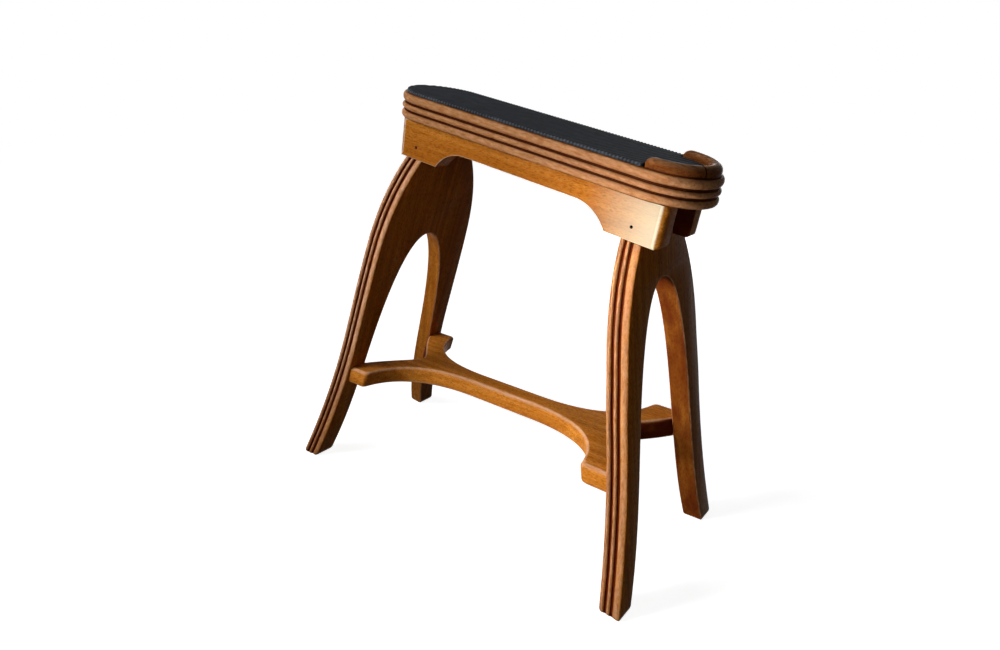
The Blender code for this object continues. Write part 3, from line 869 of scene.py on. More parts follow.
@dataclass
class HeelStop:
    """The half-round lip round the heel end, in three segments."""

    stance: Stance
    finish: VarnishedBeech
    width: float = 14.0
    height: float = 10.4
    reach: float = 7.0
    nose: float = 9.0
    tip_width: float = 3.0
    tip_height: float = 4.5
    joint: float = math.radians(25)
    seam_width: float = 1.6
    # A dark line along the lip's foot is painted shadow where it sits on the board.
    foot_line: float = 1.4
    foot_shadow: float = 0.9

    # The lip is rubbed from this share of its height upwards, at this gain.
    rub_from: float = 0.55
    rub_gain: float = 1.6

    # How far apart in their plank the segments' grain begins, for each radian between them.
    cut_step: float = 900.0

    def section(self, width: Array, height: Array) -> Array:
        """Cross-sections of the lip, upright sides under a half circle.

        Args:
            width: Width at each station, (m,).
            height: Height at each station, (m,).

        Returns:
            Points (outwards, up) round each section, (m, n, 2).
        """
        half = width[:, None] / 2
        crest = arc(np.array((0.0, 0.0)), half, 0, math.pi, 25)
        crest[..., 1] += height[:, None] - half
        foot = np.concatenate((half, np.zeros_like(half)), axis=1)[:, None]
        return np.concatenate((foot, crest, foot * np.array((-1, 1))), axis=1)

    def line(self, distance: Array) -> tuple[Array, Array]:
        """Middle line of the lip and its outward side.

        Formula: up to a quarter turn either way a circle about the end's centre, then straight back.

        Args:
            distance: Distances from the heel end's middle, (m,).

        Returns:
            Places and unit outward vectors on the board, both (m, 2).
        """
        quarter = self.stance.stop_radius * math.pi / 2
        turn = np.clip(distance, -quarter, quarter) / self.stance.stop_radius
        outward_side = np.stack((np.cos(turn), np.sin(turn)), axis=-1)
        past = np.clip(np.abs(distance) - quarter, 0, None)
        place = np.array((self.stance.stop_centre, 0.0)) + self.stance.stop_radius * outward_side
        place[:, 0] -= past
        return place, outward_side

    def segment(self, distance: Array, width: Array, height: Array, name: str, node: str) -> bpy.types.Object:
        """Carry the section along one segment.

        Formula: a place on the middle line plus its outward side times the section's own place, as
        high over the board as the section says.

        Args:
            distance: Stations along the lip, (m,).
            width: Width at each, (m,).
            height: Height at each, (m,).
            name: Name of the piece.
            node: The solid that it replaces.

        Returns:
            The segment.
        """
        place, outward_side = self.line(distance)
        section = self.section(width, height)
        flat = place[:, None] + outward_side[:, None] * section[..., :1]
        lift = self.stance.top_face + GAP + section[..., 1:]
        points = np.concatenate((flat, lift), axis=-1)
        middle = float(distance.mean()) / self.stance.stop_radius
        turn = np.clip(middle, -math.pi / 2, math.pi / 2) + math.pi / 2
        c, s = math.cos(turn), math.sin(turn)
        along = points[..., 0] * c + points[..., 1] * s + self.cut_step * middle
        side = points[..., 1] * c - points[..., 0] * s
        grain = np.stack((along, side, points[..., 2]), axis=-1)
        wear = np.clip((section[..., 1] / self.height - self.rub_from) * self.rub_gain, 0, 1)
        seam = self.stance.stop_radius * self.joint
        dark_seam = np.clip(1 - np.abs(np.abs(distance) - seam) / self.seam_width, 0, 1)[:, None]
        # Painted shadow along the foot of the lip.
        foot_shade = np.clip(1 - section[..., 1] / self.foot_line, 0, 1)
        skin = Skin(self.stance.top_seat())
        skin.add_body(points, grain, np.maximum(dark_seam, self.foot_shadow * foot_shade), wear)
        return skin.build(name, self.finish.material, "top_wood", node)

    def build(self) -> list[bpy.types.Object]:
        """Build the middle segment and the two that end in a blunt nose.

        Formula: along the nose the width and height shrink by the cosine of a quarter turn while the
        place advances by its sine.

        Returns:
            The three segments.
        """
        half_gap = GAP / 2
        seam = self.stance.stop_radius * self.joint
        tip = self.stance.stop_radius * math.pi / 2 + self.reach
        front = np.linspace(half_gap - seam, seam - half_gap, 31)
        even = np.full_like(front, self.width), np.full_like(front, self.height)
        pieces = [self.segment(front, *even, "heel_stop_middle", "heel_stop_front")]
        turn = np.linspace(0, math.pi / 2, 13)[1:]
        plain = np.linspace(seam + half_gap, tip - self.nose, 40)
        distance = np.concatenate((plain, tip - self.nose * (1 - np.sin(turn))))
        shrink = np.concatenate((np.ones_like(plain), np.cos(turn)))
        width = self.tip_width + (self.width - self.tip_width) * shrink
        height = self.tip_height + (self.height - self.tip_height) * shrink
        for hand in Hand:
            node = "heel_stop_" + hand.word
            pieces.append(self.segment(hand.value * distance, width, height, node + "_lip", node))
        return pieces


@dataclass
class Apron:
    """A rail under the board, deep at both ends and coved up to a shallow middle."""

    stance: Stance
    finish: VarnishedBeech
    hand: Hand
    length: float = 346.0
    thickness: float = 22.0
    corner: float = 8.0
    arris: float = 0.9
    toe_round: float = 4.5
    web: float = 21.0
    arch: float = 226.0
    cove_run: float = 39.0
    # The inner face, towards the other apron, is darkened as painted shade.
    inner_shade: float = 0.75

    # Where the grain begins across its plank, and how far the two aprons lie from there.
    cut: float = 40.0
    cut_step: float = 500.0

    def outline(self) -> tuple[Array, Array, Array]:
        """Side outline with the way each point moves when an edge is drawn in.

        Formula: a flat toe, a cove that is an arc rising to the web, the flat web, the same cove back
        and the other toe, then up the end and over the straight top.

        Returns:
            Points (along, up), the inward vectors of the eased edges and those of the two ends, each
            (n, 2).
        """
        end, toe = self.length / 2, self.arch / 2
        rise = self.stance.apron_depth - self.web
        top = self.stance.apron_depth - GAP
        swing = 2 * math.atan(rise / self.cove_run)
        radius = self.cove_run / math.sin(swing)
        centre = np.array((toe - self.cove_run, rise - radius))
        cove = arc(centre, radius, math.pi / 2, math.pi / 2 - swing, 29)
        mirror = np.array((-1.0, 1.0))
        under = np.concatenate((cove[::-1] * mirror, cove))
        turn = np.linspace(-math.pi / 2, 0, 9)
        toe_end = arc(np.array((end - self.toe_round, self.toe_round)), self.toe_round, -math.pi / 2, 0, 9)
        ends = np.concatenate((toe_end, ((end, top), (-end, top)), toe_end[::-1] * mirror))
        loop = np.concatenate((under, ends))
        ease = np.zeros_like(loop)
        ease[: under.shape[0]] = -inward(under)
        ease[0] = ease[under.shape[0] - 1] = (0.0, 1.0)
        lift = -np.sin(turn)
        ease[-ends.shape[0] :, 1] = np.concatenate((lift, (-1.0, -1.0), lift[::-1]))
        draw = np.zeros_like(loop)
        back = np.cos(turn)
        draw[-ends.shape[0] :, 0] = np.concatenate((-back, (-1.0, 1.0), back[::-1]))
        return loop, ease, draw

    def build(self) -> bpy.types.Object:
        """Carry the outline through the thickness, its outer upright corners well rounded.

        Formula: each layer is the outline plus its easing vectors times the arris's inset, plus its end
        vectors times the inset of the corner.

        Returns:
            The apron.
        """
        near = rounding(self.arris, 6)
        depth = np.concatenate((near, rounding(self.corner, 12), self.thickness - near))
        depth = np.unique(depth.round(4))
        ease_by = eased(depth, self.thickness, self.arris)
        end_by = np.where(depth > self.thickness / 2, ease_by, 0.0)
        end_by = np.maximum(rounded(depth, self.corner), end_by)
        worn = arris_wear_and_highlight(ease_by / self.arris)
        loop, ease, draw = self.outline()
        flat = loop + ease * ease_by[:, None, None] + draw * end_by[:, None, None]
        across = self.hand.value * (self.stance.apron_spread / 2 - depth[:, None])
        points = np.stack((flat[..., 0], np.broadcast_to(across, flat.shape[:2]), flat[..., 1]), axis=-1)
        start = np.array((0.0, self.cut + self.cut_step * self.hand.value, 0.0))
        skin = Skin(self.stance.top_seat())
        # Painted shade over the inner face and its arris, towards the other apron.
        deep = np.where(depth > self.thickness - self.arris, self.inner_shade, 0.0)
        skin.add_body(points, points[..., [0, 2, 1]] + start, deep[:, None], worn[:, None])
        node = "apron_" + self.hand.word
        return skin.build(node + "_coved", self.finish.material, "frame_wood", node)


@dataclass
class LegFrame:
    """A wishbone leg frame sawn from board, its outer edges reeded."""

    stance: Stance
    finish: VarnishedBeech
    node: str
    joint: float
    rake: float
    arch_drop: float
    # The arch's eased edges are darkened as painted shade.
    arch_shade: float
    # Pale crests of the reeds are painted highlight; the foot keeps this share of it.
    crest_highlight: float
    foot_highlight: float
    reed_widths: tuple[float, ...]
    foot_ease: float
    cut: tuple[float, float, float]
    reed_depth: float = 2.9
    groove: float = 2.5
    corner: float = 1.5
    arris: float = 1.8
    foot_outer: float = 115.7
    foot_inner: float = 89.8
    foot_round: float = 3.2
    curve_start: float = 17.0
    waist_height: float = 190.0
    waist_outer: float = 85.5
    waist_inner: float = 56.0
    shoulder_drop: float = 118.0
    shoulder_outer: float = 80.0
    crown_outer: float = 45.5
    tongue_half: float = 23.2
    foot_outer_slope: float = -0.28
    waist_outer_slope: float = -0.04
    shoulder_slope: float = -0.07
    crown_slope: float = -0.62
    foot_inner_slope: float = -0.36
    waist_inner_slope: float = -0.12
    arch_shoulder: float = 77.0
    arch_crown: float = 30.0

    @property
    def thickness(self) -> float:
        """Thickness of the board: its reeds and the grooves between them."""
        return sum(self.reed_widths) + self.groove * (len(self.reed_widths) - 1)

    def reach(self, depth: Array | float, height: float) -> Array | float:
        """How far up the leg a layer meets the plane at a height on the tilted top.

        Formula: the distance from the leg's seat to the plane, less what the layer's depth makes up,
        over the share of a step up the leg that leads towards the plane.

        Args:
            depth: Place through the thickness, from the middle plane towards +X.
            height: Height of the plane on the top seat.

        Returns:
            The distance up the leg, of the same shape as depth.
        """
        seat = self.stance.leg_seat(self.joint, self.rake)
        top = self.stance.top_seat()
        tilt = self.stance.tilt
        gap = (top.x - seat.x) * math.sin(tilt) + top.z * math.cos(tilt) + height
        through = math.cos(self.rake) * math.sin(tilt) - math.sin(self.rake) * math.cos(tilt)
        along = math.sin(self.rake) * math.sin(tilt) + math.cos(self.rake) * math.cos(tilt)
        return (gap - depth * through) / along

    def half_outline(self, depth: Array) -> tuple[Array, Array]:
        """Left half of the outline in every layer, from the tongue's top to the top of the arch.

        Formula: the outer edge is three cubics from the crown down to the foot, the foot is rounded to
        the sole, and the inner edge is a cubic up to the waist and another round the arch. The sole,
        shoulders and tongue follow the planes of the floor and the top, so they shift with the depth.

        Args:
            depth: Places of the layers through the thickness, (k,).

        Returns:
            Points (across, up), (k, n, 2), and how far each belongs to the reeded edge, (n,).
        """
        layers = depth.size
        floor = depth * math.tan(self.rake) + self.foot_round
        floor = floor + rounded(self.thickness / 2 - np.abs(depth), self.foot_ease)
        crown = float(self.reach(0.0, 0.0))
        foot = np.array((self.foot_outer, 0.0))
        waist = np.array((self.waist_outer, self.waist_height))
        shoulder = np.array((self.shoulder_outer, crown - self.shoulder_drop))
        top = np.array((self.crown_outer, crown))
        sole = np.array((self.foot_inner, 0.0))
        spring = np.array((self.waist_inner, self.waist_height))
        apex = np.array((0.0, crown - self.arch_drop))
        low = np.linspace(self.curve_start / self.waist_height, 1, 40)
        middle = np.linspace(0, 1, 24)[1:]
        # The last twentieth is left to the head, which follows the tilted top.
        high = np.linspace(0, 0.95, 32)[1:]
        outer = np.concatenate((
            self.lower_edge(low),
            rise_curve(waist, self.waist_outer_slope, shoulder, self.shoulder_slope, middle),
            rise_curve(shoulder, self.shoulder_slope, top, self.crown_slope, high),
        ))
        leave = HANDLE * self.arch_shoulder * np.array((self.waist_inner_slope, 1))
        arrive = np.array((-HANDLE * self.arch_crown, 0.0))
        inner = np.concatenate((
            rise_curve(sole, self.foot_inner_slope, spring, self.waist_inner_slope, low),
            hermite(spring, leave, apex, arrive, np.linspace(0, 1, 56)[1:]),
        ))
        shoulder_top = self.reach(depth, -GAP)
        tongue_top = self.reach(depth, self.stance.apron_depth - GAP)
        still = np.full(layers, self.tongue_half)
        rise = shoulder_top - outer[-1, 1]
        head = np.stack((outer[-1, 0] + self.crown_slope * rise, shoulder_top), axis=-1)
        ankle = foot + floor[:, None] * np.array((self.foot_outer_slope, 1))
        heel = sole + floor[:, None] * np.array((self.foot_inner_slope, 1))
        turn = np.linspace(0, math.pi / 2, 7)
        circle = np.stack((np.cos(turn), np.sin(turn)), axis=-1) * self.foot_round
        outside = (ankle - np.array((self.foot_round, 0.0)))[:, None] + circle * np.array((1, -1))
        inside = (heel + np.array((self.foot_round, 0.0)))[:, None] - circle[::-1]
        parts = (
            np.stack((still, tongue_top), axis=-1)[:, None],
            np.stack((still, shoulder_top), axis=-1)[:, None],
            head[:, None],
            np.broadcast_to(outer[::-1], (layers,) + outer.shape),
            outside,
            inside,
            np.broadcast_to(inner, (layers,) + inner.shape),
        )
        fade = np.cos(turn) ** 2
        plain = np.zeros(turn.size + inner.shape[0])
        reeded = np.concatenate((np.zeros(2), np.ones(1 + outer.shape[0]), fade, plain))
        return np.concatenate(parts, axis=1), reeded

    def build(self) -> bpy.types.Object:
        """Carry the outline through the thickness, reeded outside and eased inside, and close both faces.

        Formula: in each layer the reeded edges move towards the middle by the inset of the reeds, and
        the rest along its inward vectors by the inset of the arris.

        Returns:
            The leg frame.
        """
        across, reed, sunk, recess = reeds(self.reed_widths, self.groove, self.reed_depth, self.corner)
        ease = eased(across, self.thickness, self.arris)
        worn = arris_wear_and_highlight(ease / self.arris)
        depth = across - self.thickness / 2
        left, reeded = self.half_outline(depth)
        outline = np.concatenate((left, left[:, -2::-1] * np.array((-1, 1))), axis=1)
        share = np.concatenate((reeded, reeded[-2::-1]))
        side = np.sign(outline[0, :, 0])
        shift = inward(outline[depth.size // 2])
        shift[[0, 1, -2, -1]] = np.array(((-1.0, -1.0), (-1.0, -1.0), (1.0, -1.0), (1.0, -1.0)))
        pull = np.stack((-side, np.zeros_like(side)), axis=-1)
        flat = outline + shift * ((1 - share)[:, None] * ease[:, None, None])
        flat = flat + pull * (share[:, None] * reed[:, None, None])
        # Painted highlight on the crests of the reeds, fading from the waist down to the foot.
        crest = (1 - sunk) ** 2 * self.crest_highlight
        layers = layered(flat, depth)
        climb = np.clip(flat[..., 1] / self.waist_height, 0, 1)
        rub_and_highlight = crest[:, None] * (self.foot_highlight + (1 - self.foot_highlight) * climb)
        wear = share * rub_and_highlight + (1 - share) * worn[:, None]
        skin = Skin(self.stance.leg_seat(self.joint, self.rake))
        # Painted shade on the eased edges of the arch; the grooves of the reeds hold grime and painted shade.
        grime_and_shade = self.arch_shade * (1 - ease / self.arris)
        deep = share * recess[:, None] + (1 - share) * grime_and_shade[:, None]
        grain = layers[..., [1, 0, 2]] + np.array(self.cut)
        skin.add_body(layers[..., [2, 0, 1]], grain, deep, wear)
        return skin.build(self.node + "_reeded", self.finish.material, "frame_wood", self.node)

    def face(self, toward: int, height: Array) -> Array:
        """Place along X of one face of the board at heights over the floor.

        Formula: the seat's place, plus the height times the rake's tangent, plus half the thickness over
        the rake's cosine.

        Args:
            toward: 1 for the face towards +X, -1 for the other.
            height: Heights over the floor, (k,).

        Returns:
            The places, (k,).
        """
        seat = self.stance.leg_seat(self.joint, self.rake)
        return seat.x + height * math.tan(self.rake) + toward * self.thickness / 2 / math.cos(self.rake)

    def lower_edge(self, shares: Array) -> Array:
        """Points (across, up) of the outer edge, one for each share of the rise from foot to waist."""
        foot, waist = np.array(((self.foot_outer, 0.0), (self.waist_outer, self.waist_height)))
        return rise_curve(foot, self.foot_outer_slope, waist, self.waist_outer_slope, shares)

    def edge_at(self, height: float) -> float:
        """Half width of the frame at a height over the floor, below its waist."""
        share = np.array((height / math.cos(self.rake) / self.waist_height,))
        return float(self.lower_edge(share)[0, 0])


@dataclass
class Stretcher:
    """One level board with a fork at each end, butted on the inner faces of the leg frames."""

    finish: VarnishedBeech
    rear: LegFrame
    front: LegFrame
    top: float = 139.0
    thickness: float = 23.5
    arris: float = 4.6
    bar_width: float = 26.0
    bar_straight: float = 90.0
    setback: float = 4.8
    butt: float = 24.5
    rear_arm: float = 31.0
    front_arm: float = 34.0
    corner: float = 6.0
    fork_depth: float = 47.0
    crotch: float = 9.0
    mouth: tuple[float, float] = (18.0, 29.0)
    bar_flare: float = 73.0
    arm_flare: tuple[float, float] = (10.0, 44.0)
    # The inner sides of the forks are darkened as painted shadow.
    fork_shadow: float = 0.85

    # Where the grain of the piece begins in its plank, in millimetres along, across and through it.
    cut: tuple[float, float, float] = (1500.0, 80.0, 0.0)

    def fork(self, end: Array, half: float, arm: float, inset: Array) -> Array:
        """Left half of one fork in every layer, (outwards, across) from the bar's middle to the crotch.

        Formula: a cubic flank flares from the bar to the arm, a quarter circle turns its corner, the
        butt is square, and a cubic runs from the fork's mouth to the crotch.

        Args:
            end: Distance from the stretcher's middle to the leg frame, (k,).
            half: Half spread of the arms.
            arm: Length of the arm along the stretcher.
            inset: How far each layer is drawn in, (k,).

        Returns:
            The points, (k, n, 2).
        """
        start = np.stack((np.full_like(inset, self.bar_straight / 2), self.bar_width / 2 - inset), axis=-1)
        tip = np.stack((end - arm + inset, np.full_like(inset, half - self.corner)), axis=-1)
        turn = np.stack((tip[:, 0] + self.corner, tip[:, 1] - inset), axis=-1)
        deep = np.stack((end - self.fork_depth - inset, np.zeros_like(inset)), axis=-1)
        gate = np.stack((end, half - self.butt + inset), axis=-1)
        square = np.stack((end, half - inset), axis=-1)
        flare = np.array((HANDLE * self.bar_flare, 0.0))
        shares = np.linspace(0, 1, 61)[:-1]
        arm_end = HANDLE * np.array(self.arm_flare)
        flank = hermite(start[:, None], flare, tip[:, None], arm_end, shares)
        nose = arc(turn[:, None], self.corner, math.pi, math.pi / 2, 13)
        close = np.array((0.0, -HANDLE * self.crotch))
        shares = np.linspace(0, 1, FORK_STEPS)
        inner = hermite(gate[:, None], -HANDLE * np.array(self.mouth), deep[:, None], close, shares)
        return np.concatenate((flank, nose, square[:, None], inner), axis=1)

    def build(self) -> bpy.types.Object:
        """Carry the forked outline up through the thickness, its arrises rounded.

        Formula: each layer is both forks and their mirror images, drawn in by the inset of the arris.

        Returns:
            The stretcher.
        """
        low = rounding(self.arris, 8)
        rise = np.concatenate((low, (self.thickness - low)[::-1]))
        inset = eased(rise, self.thickness, self.arris)
        worn = arris_wear_and_highlight(inset / self.arris)
        height = self.top - self.thickness + rise
        ends = np.array((self.top,))
        middle = float((self.front.face(-1, ends) + self.rear.face(1, ends))[0] / 2)
        level = self.top - self.thickness / 2
        ahead, behind = (
            self.fork(end - GAP, leg.edge_at(level) - self.setback, arm, inset)
            for end, leg, arm in (
                (self.front.face(-1, height) - middle, self.front, self.front_arm),
                (middle - self.rear.face(1, height), self.rear, self.rear_arm),
            )
        )
        loop = np.concatenate((
            ahead,
            ahead[:, -2::-1] * np.array((1, -1)),
            behind * np.array((-1, -1)),
            behind[:, -2::-1] * np.array((-1, 1)),
        ), axis=1)
        points = layered(loop + np.array((middle, 0.0)), height)
        skin = Skin(Seat(0.0, 0.0, 0.0))
        inside = np.zeros(ahead.shape[1])
        # Painted shadow on the inner sides of the forks.
        inside[-FORK_STEPS:] = self.fork_shadow
        around = np.concatenate((inside, inside[-2::-1], inside, inside[-2::-1]))
        deep = around * (1 - inset / self.arris)[:, None]
        skin.add_body(points, points + np.array(self.cut), deep, worn[:, None])
        return skin.build("stretcher_forked", self.finish.material, "frame_wood", "stretcher")


@dataclass
class Fastener:
    """A turned pin or screw whose head shows flush with the wood."""

    seat: Seat
    finish: bpy.types.Material
    head: tuple[float, float, float]
    axis: tuple[float, float, float]
    stations: tuple[tuple[float, float], ...]
    slot_width: float = 0.0
    slot_depth: float = 0.0
    dome: float = 0.0

    # Shares of the head's radius: the run of the slot's walls, and the strip with no other steps in it.
    wall: float = 0.02
    clear: float = 0.2

    def build(self, node: str, slot: str) -> bpy.types.Object:
        """Turn the shank and lay a face over its head, with a driving slot where it has one.

        Formula: a square grid (a, b) becomes a disc as (a * sqrt(1 - b*b/2), b * sqrt(1 - a*a/2)); the
        slot's columns are lowered by its depth, and a dome lifts the middle by one minus the radius
        squared. Below it, rings of the disc's rim follow the stations (distance, radius).

        Args:
            node: The solid that it replaces.
            slot: The record's material slot.

        Returns:
            The fastener.
        """
        radius = self.stations[0][1]
        steps = rows = np.linspace(-1, 1, 17)
        lip = self.slot_width / 2 / radius
        if self.slot_width:
            walls = (-lip - self.wall, -lip, lip, lip + self.wall)
            rows = np.sort(np.concatenate((steps[np.abs(steps) > self.clear], walls)))
        a, b = np.meshgrid(rows, steps, indexing="ij")
        flat = radius * np.stack((a * np.sqrt(1 - b * b / 2), b * np.sqrt(1 - a * a / 2)), axis=-1)
        swell = self.dome * (1 - (flat**2).sum(axis=-1) / radius**2)
        sink = np.where(np.abs(a) < lip + self.wall / 4, self.slot_depth, 0.0)
        rim = np.concatenate((flat[:-1, 0], flat[-1, :-1], flat[:0:-1, -1], flat[0, :0:-1]))
        distance, reach = np.array(self.stations).T
        rings = rim * (reach[:, None, None] / radius)
        axis, first = np.array(self.axis), np.array((1.0, 0.0, 0.0))
        basis = np.stack((first, np.cross(axis, first), axis))
        top = np.concatenate((flat, (sink - swell)[..., None]), axis=-1) @ basis + np.array(self.head)
        body = layered(rings, distance) @ basis + np.array(self.head)
        skin = Skin(self.seat)
        skin.add_grid(top, top, closed=False)
        index = skin.add_grid(body, body)
        skin.add_face(index[-1])
        return skin.build(node + "_turned", self.finish, slot, node)


@dataclass
class Hardware:
    """Pins, screws and dowels: the ones that show are turned anew, the hidden ones keep their solids."""

    stance: Stance
    steel: BrownedSteel
    screw_steel: BrownedSteel
    dowel: VarnishedBeech
    pin_diameter: float = 3.4
    pin_length: float = 34.8
    pin_joints: tuple[float, float] = (141.5, -145.5)
    pin_dome: float = 0.05
    stop_angles: tuple[float, ...] = (-80.0, -45.0, 0.0, 45.0, 80.0)
    head: float = 8.4
    head_rim: float = 0.3
    slot_width: float = 1.1
    slot_depth: float = 0.9
    shank: float = 4.2
    screw_length: float = 35.0
    point: float = 5.0
    tip_radius: float = 0.5
    proud: float = 0.12

    def build(self) -> list[bpy.types.Object]:
        """Build every fastener that shows and dress the hidden ones.

        Returns:
            The new pieces.
        """
        seat = self.stance.top_seat()
        pieces = []
        pin = self.steel.material
        radius = self.pin_diameter / 2
        stations = ((0.0, radius), (self.pin_length, radius))
        for end, joint in zip(("front", "rear"), self.pin_joints):
            for hand in Hand:
                side = hand.value * (self.stance.apron_spread / 2 + self.proud)
                head = (joint, side, self.stance.pin_height)
                axis = (0.0, -float(hand.value), 0.0)
                item = Fastener(seat, pin, head, axis, stations, dome=self.pin_dome)
                pieces.append(item.build("apron_pin_%s_%s" % (end, hand.word), "pin_steel"))
        screw = self.screw_steel.material
        wide, slim = self.head / 2, self.shank / 2
        body = (
            (0.0, wide),
            (self.head_rim, wide),
            (self.head_rim + wide - slim, slim),
            (self.screw_length - self.point, slim),
            (self.screw_length, self.tip_radius),
        )
        up = (0.0, 0.0, 1.0)
        for number, angle in enumerate(np.radians(self.stop_angles), start=1):
            along = self.stance.stop_centre + self.stance.stop_radius * math.cos(angle)
            side = self.stance.stop_radius * math.sin(angle)
            head = (along, side, self.stance.apron_depth - self.proud)
            item = Fastener(seat, screw, head, up, body, self.slot_width, self.slot_depth)
            pieces.append(item.build("heel_stop_screw_%d" % number, "screw_steel"))
        wood = self.dowel.material
        for name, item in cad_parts.items():
            if name.startswith(("top_screw", "stretcher_dowel")):
                item.data.materials.clear()
                item.data.materials.append(screw if name.startswith("top_screw") else wood)
                log.info("%s: carried over", name)
        return pieces


def pose(item: bpy.types.Object, right: Array, back: Array, place: Array) -> None:
    """Link a lamp or camera, which looks along its own -Z, into the scene.

    Args:
        item: The lamp or camera.
        right: Unit vector of its +X, (3,).
        back: Unit vector of its +Z, (3,).
        place: Its place in millimetres, (3,).
    """
    turn = np.eye(4)
    turn[:3] = np.stack((right, np.cross(back, right), back, MM * place), axis=-1)
    bpy.context.collection.objects.link(item)
    item.matrix_world = Matrix(turn)


@dataclass(frozen=True)
class Lamp:
    """A soft square lamp: its place and aim in millimetres, its size, power and spread."""

    name: str
    place: tuple[float, float, float]
    aim: tuple[float, float, float]
    size: float
    power: float
    spread: float = 180.0

    def build(self) -> bpy.types.Object:
        """Hang the lamp.

        Returns:
            The lamp.
        """
        light = bpy.data.lights.new(self.name, "AREA")
        light.shape = "SQUARE"
        light.size = self.size * MM
        light.energy = self.power
        light.spread = math.radians(self.spread)
        lamp = bpy.data.objects.new(self.name, light)
        back = np.array(self.place) - np.array(self.aim)
        back = back / np.linalg.norm(back)
        right = np.cross((0.0, 0.0, 1.0), back)
        pose(lamp, right / np.linalg.norm(right), back, np.array(self.place))
        return lamp


@dataclass
class Studio:
    """Pale floor, soft lamps, white surround and the camera at the picture's view."""

    lamps: tuple[Lamp, ...] = (
        Lamp("mid_left", (-845, -1030, 1200), (0, 0, 280), 350, 8.5),
        Lamp("left_key", (-820, -1290, 690), (0, 0, 280), 350, 2.0),
        Lamp("high_left", (-788, -484, 1508), (0, 0, 280), 350, 4.0),
        Lamp("low_left", (-600, -1300, 200), (60, 0, 200), 350, 1.8),
        Lamp("low_heel", (40, -1100, 140), (240, -50, 200), 250, 0.25, 50),
        Lamp("near_soft", (-560, -1110, 480), (180, -50, 230), 300, 0.64, 38),
        Lamp("block_key", (-165, -830, 226), (225, -50, 372), 60, 0.12, 24),
        Lamp("back_soft", (-400, 1500, 320), (0, 0, 280), 800, 5.0),
        Lamp("side_soft", (1300, -600, 500), (100, 0, 280), 500, 1.2),
    )
    floor_size: float = 9000.0
    floor_bounce: float = 0.08
    floor_pale: float = 0.6
    floor_roughness: float = 0.9

    # The floor's own light beside the object, and the metres over which it grows to plain white.
    floor_glow: float = 0.9
    glow_run: tuple[float, float] = (0.5, 2.0)

    # The picture's camera: its aim in millimetres, its focal length, centre and image in pixels.
    azimuth: float = math.radians(36.32)
    elevation: float = math.radians(18.2)
    roll: float = math.radians(1.55)
    distance: float = 1341.46
    target: tuple[float, float, float] = (-273.79, 419.14, 102.07)
    focal: float = 678.69
    centre: tuple[float, float] = (524.33, 290.02)
    image: tuple[float, float] = (1000.0, 650.0)
    sensor: float = 36.0

    def seen(self, tree: bpy.types.NodeTree) -> Socket:
        """A socket that is 1 where the surround itself is looked at, straight or in a reflection.

        Args:
            tree: The node tree.

        Returns:
            The socket.
        """
        path = add_node(tree, "LightPath").node.outputs
        shine = {0: path["Is Glossy Ray"], 1: path["Is Transmission Ray"]}
        shiny = add_node(tree, "Math", shine, operation="MAXIMUM")
        return add_node(tree, "Math", {0: path["Is Camera Ray"], 1: shiny}, operation="MAXIMUM")

    def build_world(self) -> None:
        """White where the surround is looked at, straight or in a reflection, and no light from it."""
        world = bpy.data.worlds.new("white_surround")
        world.use_nodes = True
        tree = world.node_tree
        feed(tree.nodes["Background"], {"Color": (1, 1, 1, 1), "Strength": self.seen(tree)})
        bpy.context.scene.world = world

    def build_floor(self) -> bpy.types.Object:
        """A plain pale floor that keeps the object's shadow.

        Formula: a grid whose corners lie half the floor's size either way from the origin.

        Returns:
            The floor.
        """
        half = self.floor_size / 2
        spots = MM * np.stack(np.meshgrid((-half, half), (-half, half), (0.0,)), axis=-1).reshape(-1, 3)
        mesh = bpy.data.meshes.new("floor")
        mesh.from_pydata(spots.tolist(), [], [(0, 1, 3, 2)])
        material, tree, shader = new_material("painted_floor")
        seen = self.seen(tree)
        bounce = {"Value": seen, "To Min": self.floor_bounce, "To Max": self.floor_pale}
        place = add_node(tree, "TexCoord", out="Object")
        away = add_node(tree, "VectorMath", {0: place}, "Value", operation="LENGTH")
        near, far = self.glow_run
        rise = {"Value": away, "From Min": near, "From Max": far, "To Min": self.floor_glow}
        bright = add_node(tree, "MapRange", rise, interpolation_type="SMOOTHSTEP")
        glow = add_node(tree, "Math", {0: seen, 1: bright}, operation="MULTIPLY")
        feed(shader, {"Roughness": self.floor_roughness, "Specular IOR Level": 0.0})
        feed(shader, {"Base Color": add_node(tree, "MapRange", bounce)})
        feed(shader, {"Emission Color": (1, 1, 1, 1), "Emission Strength": glow})
        mesh.materials.append(material)
        floor = bpy.data.objects.new("floor", mesh)
        bpy.context.collection.objects.link(floor)
        floor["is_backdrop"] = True
        return floor

    def build_camera(self) -> bpy.types.Object:
        """The camera at the picture's view.

        Returns:
            The camera.
        """
        a, e, r = self.azimuth, self.elevation, self.roll
        back = np.array((math.sin(a) * math.cos(e), -math.cos(a) * math.cos(e), math.sin(e)))
        right = np.array((math.cos(a), math.sin(a), 0.0))
        right = math.cos(r) * right + math.sin(r) * np.cross(back, right)
        data = bpy.data.cameras.new("picture_view")
        data.sensor_fit = "HORIZONTAL"
        data.sensor_width = self.sensor
        width, height = self.image
        data.lens = self.focal / width * self.sensor
        data.shift_x = (width / 2 - self.centre[0]) / width
        data.shift_y = (self.centre[1] - height / 2) / width
        data.clip_start = 0.01
        camera = bpy.data.objects.new("picture_view", data)
        pose(camera, right, back, np.array(self.target) + self.distance * back)
        bpy.context.scene.camera = camera
        return camera

    def build(self) -> None:
        """Set up the surround, the floor, the lamps and the camera."""
        bpy.context.scene.view_settings.view_transform = "Standard"
        self.build_camera()
        self.build_world()
        self.build_floor()
        for lamp in self.lamps:
            lamp.build()


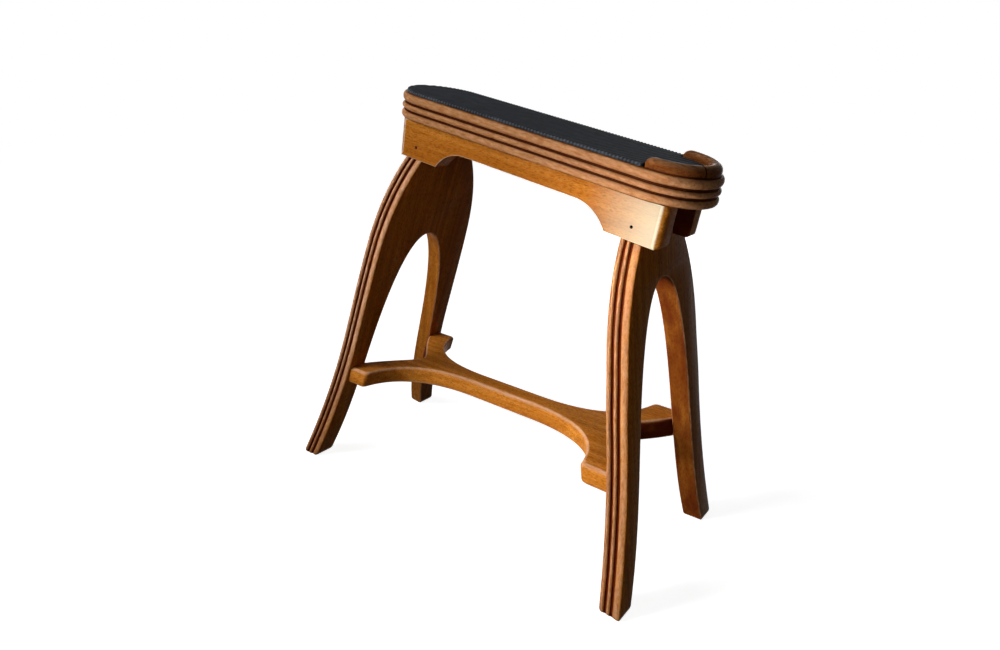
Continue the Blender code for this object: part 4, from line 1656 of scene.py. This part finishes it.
def main() -> None:
    """Build the studio and every piece in order."""
    logging.basicConfig(level=logging.INFO, format="%(message)s")
    solid_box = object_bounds()
    stance = Stance()
    Studio().build()
    beech = VarnishedBeech("varnished_beech")
    dark_beech = VarnishedBeech(
        "darkened_beech",
        shade="#6c3410",
        body="#8c4e1c",
        light="#aa692c",
        fleck="#3c1a0b",
        grime_and_shade="#34140a",
        rubbed="#c69468",
    )
    # Beech whose rubbed colour is laid as a painted reflection of a lamp on the near apron's heel end.
    reflected_beech = VarnishedBeech(
        "beech_painted_reflection",
        rubbed="#d2c9ad",
        roughness=0.2,
        specular=0.004,
        painted_reflection=0.74,
    )
    # A paler copy of the beech for the stretcher: partly its own paler wood, partly painted light for the
    # light and gloss on its flank and top.
    paler_lit_beech = VarnishedBeech(
        "paler_lit_beech",
        shade="#a35c19",
        body="#c87928",
        light="#eba046",
        fleck="#70360e",
        roughness=0.3,
    )
    TopBoard(stance, dark_beech).build()
    RubberMat(stance, RibbedRubber()).build()
    # A darker copy of the board's beech for the heel stop.
    stop_beech = replace(dark_beech, name="darker_stop_beech", shade="#582c12", body="#743f1a", light="#8f5a28")
    HeelStop(stance, stop_beech).build()
    for hand in Hand:
        Apron(stance, reflected_beech, hand).build()
    rear = LegFrame(
        stance,
        beech,
        "rear_leg_frame",
        joint=-145.5,
        rake=math.radians(19.5),
        arch_drop=103.0,
        arch_shade=0.3,
        crest_highlight=1.0,
        foot_highlight=0.35,
        reed_widths=(5.0, 4.6, 8.6),
        foot_ease=5.3,
        cut=(0.0, 300.0, 0.0),
    )
    front = LegFrame(
        stance,
        beech,
        "front_leg_frame",
        joint=139.8,
        rake=math.radians(-6.8),
        arch_drop=43.5,
        arch_shade=0.66,
        crest_highlight=0.5,
        foot_highlight=1.0,
        reed_widths=(5.4, 4.7, 8.9),
        foot_ease=2.4,
        cut=(700.0, 0.0, 60.0),
    )
    rear.build()
    front.build()
    Stretcher(paler_lit_beech, rear, front).build()
    dowel = VarnishedBeech("beech_dowel", GrainSource.SOLID)
    # Near-black pin heads: dark oxide, darkened further as painted shade of the holes they sit in.
    pin_steel = BrownedSteel("pin_head_steel_with_hole_shade", "#1a120d", "#0e0704")
    Hardware(stance, pin_steel, BrownedSteel("browned_screw_steel"), dowel).build()
    boxes = {"cad": solid_box, "visual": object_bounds()}
    {key: [[float(part) for part in corner] for corner in box] for key, box in boxes.items()}


if __name__ == "__main__":
    main()
